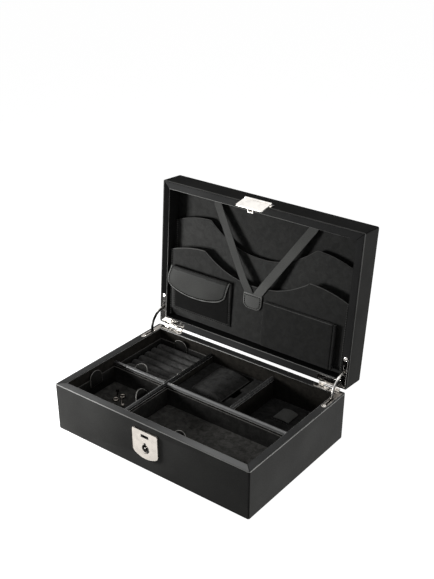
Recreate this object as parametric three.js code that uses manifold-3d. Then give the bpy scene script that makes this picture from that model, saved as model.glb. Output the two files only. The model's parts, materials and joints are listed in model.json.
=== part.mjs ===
// Watch and jewellery box with an open lid, lift-out trays, a keyed box lock and quadrant hinges.
// Millimetres, +Z up, +X to the right, the front faces -Y, the origin is under the middle of the base.
// The lid is drawn shut, in the same frame as the base, and a group turns it open about the hinge axis.

import * as THREE from 'three';
import { mergeVertices } from 'three/addons/utils/BufferGeometryUtils.js';
import Module from 'manifold-3d';

const wasm = await Module();
wasm.setup();

// Outer box
const boxWidth = 320;
const boxDepth = 216.2;
const baseHeight = 71.8;
const lidHeight = 35;
const cornerRadius = 2.5;
const lidOpenDegrees = 94.38;

// Walls, boards and linings
const wallThick = 10.4;
const liningThick = 1;
const floorThick = 5;
const lidTopThick = 6;
const edgeLip = 1.6;
const rimThick = 1;
const feltThick = 1.2;
const feltInset = 4;

// Clearances
const seatGap = 0.3;
const shutGap = 0.3;
const trayGap = 0.6;
const overrun = 1;

// Dividers: shares of the box's width or depth from its middle. A drop is measured down from the base's rim
const dividerThick = 5.6;
const dividerDrop = 8.8;
const mainDividerShare = -0.168125;
const crossDividerShare = -0.012026;
const shortDividerShare = 0.1625;

// Lift-out trays and the ledges that carry them
const trayDrop = 15.3;
const trayHeight = 27;
const trayWall = 1.8;
const trayFloor = 2;
const ledgeWidth = 4;

// Pull tabs: an offset is measured from the middle of the compartment
const tabWidth = 23;
const tabRise = 11;
const tabRoot = 12;
const tabThick = 1;
const ringTabOffset = -6.4;
const keyTabOffset = 6.05;
const wideTabOffset = -10.8;

// Ring rolls
const rollCount = 6;
const rollGap = 2.3;
const rollDrop = 19.8;
const rollFrontGap = 5.1;
const rollBackGap = 0.4;
const rollEndGap = 3;
const rollEndRound = 1.4;

// Watch pad and cuff
const watchPadDrop = 22.2;
const wellLeftOffset = -23.1;
const wellRightOffset = 25.9;
const wellFrontGap = 1;
const wellBackGap = 3;
const wellFloor = 26;
const notchReach = 6;
const notchFrontOffset = -11.45;
const notchBackOffset = 10.15;
const cuffLeftOffset = -30.1;
const cuffRightOffset = 22.4;
const cuffFrontGap = 19.8;
const cuffBackGap = 9.7;
const cuffCrownOffset = -7.8;
const cuffFall = 6.6;
const cuffThick = 1.6;
const tongueFrontOffset = -11.95;
const tongueBackOffset = 11.05;
const tongueDepth = 6;
const tongueThick = 1.2;

// Small pad and strap holder
const smallPadDrop = 40.3;
const holderLeftOffset = -17.7;
const holderRightOffset = 7.3;
const holderFrontOffset = 3.55;
const holderBackOffset = 28.55;
const holderRise = 5;
const holderThick = 1.4;

// Lock
const plateWidth = 41.5;
const plateDrop = 9.6;
const plateSideDrop = 44.4;
const plateFootDrop = 51.1;
const plateThick = 2.4;
const plateCorner = 3;
const caseHalfWidth = 17;
const caseDepth = 7;
const caseFootDrop = 46.8;
const caseTopDrop = 11.8;
const caseWall = 1.2;
const slotDrop = 16.9;
const slotWidth = 11.6;
const slotOpening = 3;
const keyholeDrop = 34.3;
const keyholeRadius = 4.5;
const keyNotchRadius = 1.5;
const keyNotchRise = 5.4;
const barrelGap = 0.4;
const barrelLength = 2.6;
const postRadius = 1;
const fingerReach = 5.6;
const fingerWidth = 2.4;
const fingerThick = 1.4;
const boltThick = 1.1;
const boltTongueWidth = 3.2;
const boltBodyWidth = 12;
const boltBodyHeight = 5.6;
const boltBehindPlate = 0.3;

// Keys
const keyBowRadius = 4.6;
const keyRodRadius = 1.2;
const keyLength = 24;
const keyBitLength = 4;
const keyBitReach = 3.6;
const keyBitThick = 1.2;
const keyOneOffsetX = -9.4;
const keyOneOffsetY = 7.55;
const keyOneTurn = -2.56;
const keyTwoOffsetX = -7.4;
const keyTwoOffsetY = 19.05;
const keyTwoTurn = 0.665;

// Quadrant hinges
const hingeBehind = 2.2;
const hingeRise = 1.5;
const leafThick = 1.5;
const leafWidth = 7.6;
const sideLegInset = 6.5;
const backLegInset = 5.7;
const sideLegReach = 47;
const backLegReach = 46;
const knuckleRadius = 1.95;
const pinRadius = 0.85;
const pinGap = 0.35;
const knuckleStart = 10;
const knuckleOuter = 8;
const knuckleInner = 16;
const screwHeadRadius = 2.6;
const screwHeadThick = 0.8;
const screwShankRadius = 1.2;
const screwLength = 8;

// Stays and their slots, which are measured from the box's back face
const stayRadius = 27;
const stayWidth = 4;
const stayThick = 1.8;
const stayRivetRise = 2.5;
const stayStopDegrees = 9.4;
const stayPinLength = 4.6;
const stayPinRadius = 1;
const stayEyeGap = 0.35;
const staySlotReach = 39.5;
const staySlotInset = 20.1;
const staySlotWidth = 2.9;
const lidSlotReach = 33.6;
const lidSlotInset = 19.6;
const mortiseWidth = 5.6;
const mortiseDepth = 43.8;
const lidMortiseDepth = 8;
const earThick = 1.1;
const earRadius = 2.1;

// Lid lining and pockets: depths are measured into the lid from its rim, and height shares are of the
// lining's height from the hinge side up
const liningDepth = 23;
const upperPocketDepth = 16;
const lowerPocketDepth = 5.5;
const pocketThick = 1.2;
const pocketPeakShare = 0.57873;
const upperSideShare = 0.7508;
const upperPeakShare = 0.8232;
const upperCentreShare = 0.6468;
const lowerSideShare = 0.5362;
const lowerPeakShare = 0.6034;
const lowerCentreShare = 0.4535;
const peakToCentrePowerShare = 2.2;
const peakToSidePowerShare = 2;

// Straps and the D-shaped tab over their ends
const strapWidth = 12.3;
const strapThick = 1;
const strapSideGap = 67.6;
const strapTopDepth = 21;
const strapBendShift = 4.2;
const strapBendDrop = 8.7;
const strapBendDepth = 18;
const strapEndX = 7.5;
const strapEndShare = 0.4018;
const strapTailLength = 8;
const tabPlateHalfWidth = 15.2;
const tabPlateShare = 0.3966;
const tabPlateHeight = 22;
const tabPlateRound = 10;
const tabPlateThick = 0.8;

// Flap pouch and flat pocket
const pouchSideGap = 6.6;
const pouchRight = -36;
const pouchTopShare = 0.4235;
const pouchFootShare = 0.0812;
const pouchWall = 0.8;
const flapSideReach = 4.5;
const flapRightReach = 1;
const flapTopReach = 1.3;
const flapSideHeight = 22.5;
const flapHeight = 40.5;
const flapThick = 1;
const flatPocketLeft = 20;
const flatPocketSideGap = 15.6;
const flatPocketTopShare = 0.3759;
const flatPocketFootShare = 0.0398;

// Hasp
const haspWidth = 41.5;
const haspLength = 20;
const haspThick = 1.5;
const haspFaceOffset = 0.7;
const haspAhead = 4.4;
const haspAxisRise = 1.3;
const haspDroopDegrees = 13.3;
const haspBarrelRadius = 1.9;
const haspPinRadius = 0.85;
const haspTongueWidth = 23;
const haspCorner = 2.5;
const bracketThick = 1.2;
const bracketHeight = 8;
const stapleWidth = 9;
const stapleReach = 7.6;
const stapleRod = 1.5;
const stapleHeight = 1.8;

// Worked out from the sizes above
const halfWidth = boxWidth / 2;
const halfDepth = boxDepth / 2;
const woodX = halfWidth - wallThick;
const woodY = halfDepth - wallThick;
const innerX = woodX - liningThick;
const innerY = woodY - liningThick;
const boardTop = feltThick + floorThick;
const floorTop = boardTop + liningThick;
const rimFoot = baseHeight - rimThick;
const lidRim = baseHeight + shutGap;
const lidTop = lidRim + lidHeight;
const hingeY = halfDepth + hingeBehind;
const hingeZ = baseHeight + hingeRise;
const openAngle = THREE.MathUtils.degToRad(lidOpenDegrees);
const dividerTop = baseHeight - dividerDrop;
const mainDividerX = boxWidth * mainDividerShare;
const crossDividerY = boxDepth * crossDividerShare;
const shortDividerX = boxWidth * shortDividerShare;
const trayRim = baseHeight - trayDrop;
const trayBottom = trayRim - trayHeight;
const mainLeft = mainDividerX - dividerThick / 2;
const mainRight = mainDividerX + dividerThick / 2;
const crossFront = crossDividerY - dividerThick / 2;
const crossBack = crossDividerY + dividerThick / 2;
const shortLeft = shortDividerX - dividerThick / 2;
const shortRight = shortDividerX + dividerThick / 2;
const legX = halfWidth - sideLegInset;
const legY = halfDepth - backLegInset;
const screwY = halfDepth - sideLegReach + leafWidth / 2;
const knuckleFarX = halfWidth - knuckleStart;
const knuckleSplitX = knuckleFarX - knuckleOuter;
const knuckleNearX = knuckleSplitX - knuckleInner;
const knuckleEndX = knuckleNearX - knuckleOuter;
const plateFace = -halfDepth - plateThick;
const slotHeight = baseHeight - slotDrop;
const keyholeHeight = baseHeight - keyholeDrop;
const staySlotFront = halfDepth - staySlotReach;
const staySlotBack = halfDepth - staySlotInset;
const lidSlotFront = halfDepth - lidSlotReach;
const lidSlotBack = halfDepth - lidSlotInset;
const mortiseFoot = baseHeight - mortiseDepth;

const group = new THREE.Group();
const lid = new THREE.Group();
lid.position.set(0, hingeY, hingeZ);
lid.rotation.x = -openAngle;
const lidShut = new THREE.Group();
lidShut.position.set(0, -hingeY, -hingeZ);
lid.add(lidShut);
group.add(lid);

// Finishes
function finish(color, roughness, metalness) {
  return new THREE.MeshStandardMaterial({ color, roughness, metalness });
}
const leather = finish(0x1b1b1a, 0.45, 0);
const rimLeather = finish(0x2a2a28, 0.4, 0);
const suede = finish(0x1d1b19, 0.95, 0);
const traySuede = finish(0x22201e, 0.9, 0);
const lidSuede = finish(0x242423, 0.9, 0);
const strapLeather = finish(0x3a3a38, 0.6, 0);
const nickel = finish(0xd8d2c8, 0.2, 1);
const darkNickel = finish(0x8d8880, 0.3, 1);
const felt = finish(0x161616, 1, 0);

// Solids
function solidOf(geometry) {
  geometry.deleteAttribute('normal');
  geometry.deleteAttribute('uv');
  const merged = mergeVertices(geometry, 1e-5);
  const vertProperties = new Float32Array(merged.attributes.position.array);
  const triVerts = new Uint32Array(merged.index.array);
  return new wasm.Manifold(new wasm.Mesh({ numProp: 3, vertProperties, triVerts }));
}

function geometryOf(solid) {
  const mesh = solid.getMesh();
  const geometry = new THREE.BufferGeometry();
  geometry.setAttribute('position', new THREE.BufferAttribute(Float32Array.from(mesh.vertProperties), 3));
  geometry.setIndex(Array.from(mesh.triVerts));
  geometry.computeVertexNormals();
  return geometry;
}

function add(parent, name, solid, material) {
  const mesh = new THREE.Mesh(geometryOf(solid), material);
  mesh.name = name;
  parent.add(mesh);
}

function block(x0, x1, y0, y1, z0, z1) {
  const geometry = new THREE.BoxGeometry(2, 2, 2);
  const corners = geometry.attributes.position;
  for (let i = 0; i < corners.count; i += 1) {
    const x = corners.getX(i) > 0 ? x1 : x0;
    const y = corners.getY(i) > 0 ? y1 : y0;
    const z = corners.getZ(i) > 0 ? z1 : z0;
    corners.setXYZ(i, x, y, z);
  }
  return solidOf(geometry);
}

// A block given by the sides of one box corner: side is 1 on the right and -1 on the left
function sideBlock(side, xNear, xFar, y0, y1, z0, z1) {
  return block(Math.min(side * xNear, side * xFar), Math.max(side * xNear, side * xFar), y0, y1, z0, z1);
}

const upright = new THREE.Matrix4().makeBasis(
  new THREE.Vector3(1, 0, 0), new THREE.Vector3(0, 0, 1), new THREE.Vector3(0, -1, 0));
const sideways = new THREE.Matrix4().makeBasis(
  new THREE.Vector3(0, 1, 0), new THREE.Vector3(0, 0, 1), new THREE.Vector3(1, 0, 0));

// An extrusion whose two ends lie exactly at the given places, so that touching faces match
function extrude(shape, from, to, curveSegments = 6) {
  const geometry = new THREE.ExtrudeGeometry(shape, { depth: 1, bevelEnabled: false, curveSegments });
  const corners = geometry.attributes.position;
  for (let i = 0; i < corners.count; i += 1) {
    corners.setZ(i, corners.getZ(i) > 0 ? to : from);
  }
  return geometry;
}

// An outline in X and Y, standing from z0 to z1
function slab(shape, z0, z1, curveSegments) {
  return solidOf(extrude(shape, z0, z1, curveSegments));
}

// An outline in X and Z, running from y0 to y1
function slabAlongY(shape, y0, y1, curveSegments) {
  return solidOf(extrude(shape, -y1, -y0, curveSegments).applyMatrix4(upright));
}

// An outline in Y and Z, running from x0 to x1
function slabAlongX(shape, x0, x1, curveSegments) {
  return solidOf(extrude(shape, x0, x1, curveSegments).applyMatrix4(sideways));
}

function disc(x, y, radius) {
  const shape = new THREE.Shape();
  shape.absarc(x, y, radius, 0, 2 * Math.PI, false);
  return shape;
}

function rodAlongX(y, z, radius, x0, x1, segments = 6) {
  return slabAlongX(disc(y, z, radius), Math.min(x0, x1), Math.max(x0, x1), segments);
}

function roundedRect(x0, x1, y0, y1, radius) {
  const shape = new THREE.Shape();
  shape.moveTo(x0 + radius, y0);
  shape.lineTo(x1 - radius, y0);
  shape.absarc(x1 - radius, y0 + radius, radius, -Math.PI / 2, 0, false);
  shape.lineTo(x1, y1 - radius);
  shape.absarc(x1 - radius, y1 - radius, radius, 0, Math.PI / 2, false);
  shape.lineTo(x0 + radius, y1);
  shape.absarc(x0 + radius, y1 - radius, radius, Math.PI / 2, Math.PI, false);
  shape.lineTo(x0, y0 + radius);
  shape.absarc(x0 + radius, y0 + radius, radius, Math.PI, 1.5 * Math.PI, false);
  return shape;
}

// A four-sided frame with its hole, standing from z0 to z1
function frame(x, y, holeX, holeY, z0, z1) {
  const hole = block(-holeX, holeX, -holeY, holeY, z0 - overrun, z1 + overrun);
  return block(-x, x, -y, y, z0, z1).subtract(hole);
}

function outerBlock(z0, z1) {
  return slab(roundedRect(-halfWidth, halfWidth, -halfDepth, halfDepth, cornerRadius), z0, z1, 3);
}

// Quadrant leaf: an L along the back and the side, with round ends
function leafOutline(side, grow) {
  const half = leafWidth / 2 + grow;
  const back = legY + half;
  const outer = legX + half;
  const nearX = halfWidth - backLegReach + leafWidth / 2;
  const nearY = halfDepth - sideLegReach + leafWidth / 2;
  const shape = new THREE.Shape();
  shape.moveTo(outer, nearY);
  shape.lineTo(outer, back);
  shape.lineTo(nearX, back);
  shape.absarc(nearX, legY, half, Math.PI / 2, 1.5 * Math.PI, false);
  shape.lineTo(legX - half, legY - half);
  shape.lineTo(legX - half, nearY);
  shape.absarc(legX, nearY, half, Math.PI, 2 * Math.PI, false);
  if (side > 0) {
    return shape;
  }
  return new THREE.Shape(shape.getPoints(6).map((point) => new THREE.Vector2(-point.x, point.y)).reverse());
}

function knuckleSpans(part) {
  const outerSpans = [[knuckleEndX, knuckleNearX], [knuckleSplitX, knuckleFarX]];
  const innerSpans = [[knuckleNearX + seatGap, knuckleSplitX - seatGap]];
  return part === 'base' ? outerSpans : innerSpans;
}

// The recess for a leaf: its outline and its tongues, grown by the seat gap
function leafRecess(side, part, z0, z1) {
  let recess = slab(leafOutline(side, seatGap), z0, z1);
  for (const [near, far] of knuckleSpans(part)) {
    recess = recess.add(sideBlock(side, near - seatGap, far + seatGap, legY, hingeY, z0, z1));
  }
  return recess;
}

function screwHole(side, radius, z0, z1) {
  return slab(disc(side * legX, screwY, radius), z0, z1, 4);
}

function hingeLeaf(side, part, z0) {
  const z1 = z0 + leafThick;
  let leaf = slab(leafOutline(side, 0), z0, z1);
  for (const [near, far] of knuckleSpans(part)) {
    leaf = leaf.add(sideBlock(side, near, far, legY, hingeY, z0, z1));
    leaf = leaf.add(rodAlongX(hingeY, hingeZ, knuckleRadius, side * near, side * far));
  }
  const bore = rodAlongX(hingeY, hingeZ, pinRadius + pinGap, side * (knuckleEndX - overrun),
    side * (knuckleFarX + overrun), 4);
  return leaf.subtract(bore);
}

function staySlot(side, front, back, width, z0, z1) {
  return sideBlock(side, legX - width / 2, legX + width / 2, front, back, z0, z1);
}

// Base
const bottomEdge = feltThick;
const caseFoot = baseHeight - caseFootDrop;
const caseTop = baseHeight - caseTopDrop;

function baseCarcass() {
  let walls = outerBlock(bottomEdge, baseHeight);
  walls = walls.subtract(block(-woodX, woodX, -woodY, woodY, bottomEdge - overrun, baseHeight + overrun));
  const rimX = halfWidth - edgeLip;
  const rimY = halfDepth - edgeLip;
  walls = walls.subtract(block(-rimX, rimX, -rimY, rimY, rimFoot, baseHeight + overrun));
  const leafFoot = baseHeight - leafThick;
  for (const side of [-1, 1]) {
    const mortise = staySlot(side, staySlotFront, staySlotBack, mortiseWidth, mortiseFoot, baseHeight);
    walls = walls.subtract(leafRecess(side, 'base', leafFoot, baseHeight + overrun)).subtract(mortise);
    const screwFoot = baseHeight - screwLength - seatGap;
    walls = walls.subtract(screwHole(side, screwShankRadius + seatGap, screwFoot, baseHeight));
  }
  const lockRecess = block(-caseHalfWidth - seatGap, caseHalfWidth + seatGap, -halfDepth - overrun,
    -halfDepth + caseDepth + seatGap, caseFoot - seatGap, caseTop + seatGap);
  return walls.subtract(lockRecess);
}

function baseRim() {
  let rim = frame(halfWidth - edgeLip, halfDepth - edgeLip, innerX, innerY, rimFoot, baseHeight);
  for (const side of [-1, 1]) {
    rim = rim.subtract(leafRecess(side, 'base', rimFoot - overrun, baseHeight + overrun));
  }
  return rim;
}

add(group, 'base_carcass', baseCarcass(), leather);
add(group, 'base_bottom_board', block(-woodX, woodX, -woodY, woodY, feltThick, boardTop), leather);
add(group, 'base_felt', block(-halfWidth + feltInset, halfWidth - feltInset, -halfDepth + feltInset,
  halfDepth - feltInset, 0, feltThick), felt);
add(group, 'base_rim', baseRim(), rimLeather);
add(group, 'base_wall_lining', frame(woodX, woodY, innerX, innerY, boardTop, rimFoot), suede);
add(group, 'base_floor_lining', block(-innerX, innerX, -innerY, innerY, boardTop, floorTop), suede);

// Dividers: leather-covered boards with round tops
function dividerProfile(centre) {
  const half = dividerThick / 2;
  const shape = new THREE.Shape();
  shape.moveTo(centre - half, floorTop);
  shape.lineTo(centre + half, floorTop);
  shape.lineTo(centre + half, dividerTop - half);
  shape.absarc(centre, dividerTop - half, half, 0, Math.PI, false);
  return shape;
}

const crossProfile = dividerProfile(crossDividerY);
add(group, 'main_divider', slabAlongY(dividerProfile(mainDividerX), -innerY, innerY), rimLeather);
add(group, 'left_cross_divider', slabAlongX(crossProfile, -innerX, mainLeft), rimLeather);
add(group, 'right_cross_divider', slabAlongX(crossProfile, mainRight, innerX), rimLeather);
add(group, 'short_divider', slabAlongY(dividerProfile(shortDividerX), crossBack, innerY), rimLeather);

// Trays
const places = {
  ring: { x0: -innerX, x1: mainLeft, y0: crossBack, y1: innerY },
  key: { x0: -innerX, x1: mainLeft, y0: -innerY, y1: crossFront },
  wide: { x0: mainRight, x1: innerX, y0: -innerY, y1: crossFront },
  watch: { x0: mainRight, x1: shortLeft, y0: crossBack, y1: innerY },
  small: { x0: shortRight, x1: innerX, y0: crossBack, y1: innerY },
};

const middleX = (place) => (place.x0 + place.x1) / 2;
const middleY = (place) => (place.y0 + place.y1) / 2;

function filling(place, gap, z0, z1) {
  return block(place.x0 + gap, place.x1 - gap, place.y0 + gap, place.y1 - gap, z0, z1);
}

function ledge(place) {
  const hole = filling(place, ledgeWidth, floorTop - overrun, trayBottom + overrun);
  return filling(place, 0, floorTop, trayBottom).subtract(hole);
}

function tray(place) {
  const hollow = filling(place, trayGap + trayWall, trayBottom + trayFloor, trayRim + overrun);
  return filling(place, trayGap, trayBottom, trayRim).subtract(hollow);
}

for (const [name, place] of [['ring', places.ring], ['key', places.key], ['wide', places.wide]]) {
  add(group, `${name}_tray_ledge`, ledge(place), suede);
  add(group, `${name}_tray`, tray(place), traySuede);
}

// Pull tabs: a half-round above the tray's rim and a straight root glued inside its wall
function tabOutline(centre) {
  const half = tabWidth / 2;
  const shape = new THREE.Shape();
  shape.moveTo(centre - half, trayRim - tabRoot);
  shape.lineTo(centre + half, trayRim - tabRoot);
  shape.lineTo(centre + half, trayRim);
  shape.absellipse(centre, trayRim, half, tabRise, 0, Math.PI, false, 0);
  return shape;
}

const trayInset = trayGap + trayWall;
function tabAcrossY(name, centre, wall, inward) {
  const y = inward > 0 ? wall : wall - tabThick;
  add(group, name, slabAlongY(tabOutline(centre), y, y + tabThick), strapLeather);
}
function tabAcrossX(name, centre, wall, inward) {
  const x = inward > 0 ? wall : wall - tabThick;
  add(group, name, slabAlongX(tabOutline(centre), x, x + tabThick), strapLeather);
}
const ringTabX = middleX(places.ring) + ringTabOffset;
const keyTabY = middleY(places.key) + keyTabOffset;
const wideTabX = middleX(places.wide) + wideTabOffset;
tabAcrossY('ring_tray_back_tab', ringTabX, places.ring.y1 - trayInset, -1);
tabAcrossY('ring_tray_front_tab', ringTabX, places.ring.y0 + trayInset, 1);
tabAcrossX('key_tray_left_tab', keyTabY, places.key.x0 + trayInset, 1);
tabAcrossX('key_tray_right_tab', keyTabY, places.key.x1 - trayInset, -1);
tabAcrossY('wide_tray_tab', wideTabX, places.wide.y0 + trayInset, 1);

// Ring rolls: soft rolls side by side on one slab, rounded at their ends
function ringPad() {
  const front = places.ring.y0 + trayInset + tabThick + seatGap + rollEndRound;
  const back = places.ring.y1 - trayInset - tabThick - rollBackGap - rollEndRound;
  const foot = trayBottom + trayFloor + seatGap + rollEndRound;
  const pitch = (back - front - rollFrontGap + rollGap) / rollCount;
  const radius = (pitch - rollGap) / 2;
  const centreZ = baseHeight - rollDrop - radius - rollEndRound;
  const shape = new THREE.Shape();
  shape.moveTo(back, foot);
  shape.lineTo(back, centreZ);
  for (let i = 0; i < rollCount; i += 1) {
    const centreY = back - radius - i * pitch;
    shape.absarc(centreY, centreZ, radius, 0, Math.PI, false);
  }
  shape.lineTo(front, centreZ);
  shape.lineTo(front, foot);
  const left = places.ring.x0 + trayInset + rollEndGap + rollEndRound;
  const right = places.ring.x1 - trayInset - seatGap - rollEndRound;
  const geometry = new THREE.ExtrudeGeometry(shape, {
    depth: right - left,
    curveSegments: 4,
    bevelThickness: rollEndRound,
    bevelSize: rollEndRound,
    bevelSegments: 2,
  });
  return solidOf(geometry.applyMatrix4(sideways).translate(left, 0, 0));
}
add(group, 'ring_pad', ringPad(), suede);

// Watch pad: a block with a deep well, its side notch and a slit for the cuff's tongue
const watchX = middleX(places.watch);
const watchY = middleY(places.watch);
const watchPadTop = baseHeight - watchPadDrop;
const cuffLeft = watchX + cuffLeftOffset;
const cuffRight = watchX + cuffRightOffset;
const cuffFront = places.watch.y0 + cuffFrontGap;
const cuffBack = places.watch.y1 - cuffBackGap;
const cuffCrownX = watchX + cuffCrownOffset;
const tongueX = cuffLeft + tongueThick;
const tongueFront = watchY + tongueFrontOffset;
const tongueBack = watchY + tongueBackOffset;

function watchPad() {
  const wellLeft = watchX + wellLeftOffset;
  const wellRight = watchX + wellRightOffset;
  const wellBack = innerY - wellBackGap;
  const notchFront = watchY + notchFrontOffset;
  const notchBack = watchY + notchBackOffset;
  const padTop = watchPadTop + overrun;
  let pad = filling(places.watch, seatGap, floorTop, watchPadTop);
  pad = pad.subtract(block(wellLeft, wellRight, cuffFront - wellFrontGap, wellBack, wellFloor, padTop));
  const notchRight = wellRight + notchReach;
  pad = pad.subtract(block(wellRight - overrun, notchRight, notchFront, notchBack, wellFloor, padTop));
  const slitFoot = watchPadTop - tongueDepth - seatGap;
  const slit = block(tongueX - tongueThick / 2 - seatGap, tongueX + tongueThick / 2 + seatGap,
    tongueFront - seatGap, tongueBack + seatGap, slitFoot, padTop);
  return pad.subtract(slit);
}

// An arched sheet, constant along Y: the middle of the sheet follows a parabola
function archedSheet({ left, right, front, back, crownX, crownZ, fallOf, thick, steps }) {
  const upper = [];
  const lower = [];
  for (let i = 0; i <= steps; i += 1) {
    const x = left + (right - left) * i / steps;
    const z = crownZ - fallOf(x - crownX);
    upper.push(new THREE.Vector2(x, z + thick / 2));
    lower.push(new THREE.Vector2(x, z - thick / 2));
  }
  return slabAlongY(new THREE.Shape([...lower, ...upper.reverse()]), front, back);
}

function watchCuff() {
  const reach = cuffRight - cuffCrownX;
  const fallOf = (dx) => cuffFall * (dx / reach) ** 2;
  const sheet = archedSheet({
    left: cuffLeft,
    right: cuffRight,
    front: cuffFront,
    back: cuffBack,
    crownX: cuffCrownX,
    crownZ: watchPadTop + seatGap + cuffThick / 2 + fallOf(cuffLeft - cuffCrownX),
    fallOf,
    thick: cuffThick,
    steps: 14,
  });
  const tongue = block(tongueX - tongueThick / 2, tongueX + tongueThick / 2, tongueFront, tongueBack,
    watchPadTop - tongueDepth, watchPadTop + seatGap + cuffThick);
  return sheet.add(tongue);
}
add(group, 'watch_pad', watchPad(), suede);
add(group, 'watch_cuff', watchCuff(), suede);

// Small pad and its strap holder
const smallPadTop = baseHeight - smallPadDrop;

function strapHolder() {
  const holderLeft = middleX(places.small) + holderLeftOffset;
  const holderRight = middleX(places.small) + holderRightOffset;
  const holderFront = middleY(places.small) + holderFrontOffset;
  const holderBack = middleY(places.small) + holderBackOffset;
  const middle = (holderLeft + holderRight) / 2;
  const half = (holderRight - holderLeft) / 2;
  return archedSheet({
    left: holderLeft,
    right: holderRight,
    front: holderFront,
    back: holderBack,
    crownX: middle,
    crownZ: smallPadTop + seatGap + holderThick / 2 + holderRise,
    fallOf: (dx) => holderRise * (dx / half) ** 2,
    thick: holderThick,
    steps: 10,
  });
}
add(group, 'small_pad', filling(places.small, seatGap, floorTop, smallPadTop), suede);
add(group, 'strap_holder', strapHolder(), suede);

// Lock plate: straight sides, rounded top corners and a shallow curved foot
function lockPlate() {
  const half = plateWidth / 2;
  const plateTop = baseHeight - plateDrop;
  const plateSideFoot = baseHeight - plateSideDrop;
  const plateFoot = baseHeight - plateFootDrop;
  const shape = new THREE.Shape();
  shape.moveTo(-half, plateSideFoot);
  shape.quadraticCurveTo(0, 2 * plateFoot - plateSideFoot, half, plateSideFoot);
  shape.lineTo(half, plateTop - plateCorner);
  shape.absarc(half - plateCorner, plateTop - plateCorner, plateCorner, 0, Math.PI / 2, false);
  shape.lineTo(plateCorner - half, plateTop);
  shape.absarc(plateCorner - half, plateTop - plateCorner, plateCorner, Math.PI / 2, Math.PI, false);
  let plate = slabAlongY(shape, plateFace, -halfDepth, 8);
  const front = plateFace - overrun;
  const back = -halfDepth + overrun;
  plate = plate.subtract(block(-slotWidth / 2, slotWidth / 2, front, back,
    slotHeight - slotOpening / 2, slotHeight + slotOpening / 2));
  plate = plate.subtract(slabAlongY(disc(0, keyholeHeight, keyholeRadius), front, back, 8));
  const notch = disc(0, keyholeHeight + keyNotchRise, keyNotchRadius);
  return plate.subtract(slabAlongY(notch, front, back, 4));
}

function lockCase() {
  const back = -halfDepth + caseDepth;
  const shell = block(-caseHalfWidth, caseHalfWidth, -halfDepth, back, caseFoot, caseTop);
  const hollow = block(-caseHalfWidth + caseWall, caseHalfWidth - caseWall, -halfDepth - overrun,
    back - caseWall, caseFoot + caseWall, caseTop - caseWall);
  return shell.subtract(hollow);
}

// Barrel: a disc behind the keyhole with the post that the key slips over, and a driving finger
function lockBarrel() {
  const discFront = -halfDepth + boltBehindPlate;
  const discBack = discFront + barrelLength;
  const radius = keyholeRadius - barrelGap;
  const finger = block(-fingerWidth / 2, fingerWidth / 2, discBack, discBack + fingerThick,
    keyholeHeight - postRadius, keyholeHeight + fingerReach);
  return slabAlongY(disc(0, keyholeHeight, radius), discFront, discBack, 6)
    .add(slabAlongY(disc(0, keyholeHeight, postRadius), plateFace, discBack, 4))
    .add(slabAlongY(disc(0, keyholeHeight, postRadius * 2), discBack, -halfDepth + caseDepth - caseWall, 4))
    .add(finger);
}

// Bolt: a slide with a tongue that rises through the staple
function lockBolt() {
  const y0 = -halfDepth + boltBehindPlate;
  const y1 = y0 + boltThick;
  const foot = keyholeHeight + fingerReach + seatGap;
  const bodyTop = foot + boltBodyHeight;
  const tongueTop = slotHeight - stapleHeight / 2 - seatGap * 2;
  return block(-boltBodyWidth / 2, boltBodyWidth / 2, y0, y1, foot, bodyTop)
    .add(block(-boltTongueWidth / 2, boltTongueWidth / 2, y0, y1, bodyTop - overrun, tongueTop));
}
add(group, 'lock_plate', lockPlate(), nickel);
add(group, 'lock_case', lockCase(), darkNickel);
add(group, 'lock_barrel', lockBarrel(), darkNickel);
add(group, 'lock_bolt', lockBolt(), darkNickel);

// Keys lying in the front left tray: a ring bow, a round shank and a flat bit
function key(x, y, turn) {
  const bow = solidOf(new THREE.TorusGeometry(keyBowRadius - keyRodRadius, keyRodRadius, 6, 14));
  const shankStart = keyBowRadius - keyRodRadius;
  const shank = solidOf(new THREE.CylinderGeometry(keyRodRadius, keyRodRadius, keyLength - shankStart, 8)
    .translate(0, -(keyLength + shankStart) / 2, 0));
  const bitHalf = keyBitThick / 2;
  const bit = block(0, keyBitReach, -keyLength, -keyLength + keyBitLength, -bitHalf, bitHalf);
  const lift = trayBottom + trayFloor + seatGap + keyRodRadius;
  const place = new THREE.Matrix4().makeRotationZ(turn).setPosition(x, y, lift);
  return bow.add(shank).add(bit).transform(place.toArray());
}
const keyTrayX = middleX(places.key);
const keyTrayY = middleY(places.key);
add(group, 'key_one', key(keyTrayX + keyOneOffsetX, keyTrayY + keyOneOffsetY, keyOneTurn), darkNickel);
add(group, 'key_two', key(keyTrayX + keyTwoOffsetX, keyTrayY + keyTwoOffsetY, keyTwoTurn), darkNickel);

// Hinges, one set at each back corner
const lidEyeY = hingeY - Math.sqrt(stayRadius ** 2 - stayRivetRise ** 2);
const lidEyeZ = hingeZ + stayRivetRise;

function screwPocket(side, face, inward) {
  const sink = face + inward * (screwHeadThick + seatGap);
  const far = face + inward * leafThick * 2;
  const near = face - inward * overrun;
  return screwHole(side, screwHeadRadius + seatGap, Math.min(near, sink), Math.max(near, sink))
    .add(screwHole(side, screwShankRadius + seatGap, Math.min(near, far), Math.max(near, far)));
}

function screw(side, face, inward) {
  const sink = face + inward * screwHeadThick;
  const tip = face + inward * screwLength;
  return screwHole(side, screwHeadRadius, Math.min(face, sink), Math.max(face, sink))
    .add(screwHole(side, screwShankRadius, Math.min(face, tip), Math.max(face, tip)));
}

function baseLeaf(side) {
  const z0 = baseHeight - leafThick;
  const z1 = baseHeight + overrun;
  return hingeLeaf(side, 'base', z0)
    .subtract(staySlot(side, staySlotFront, staySlotBack, staySlotWidth, z0 - overrun, z1))
    .subtract(screwPocket(side, baseHeight, -1));
}

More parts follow.
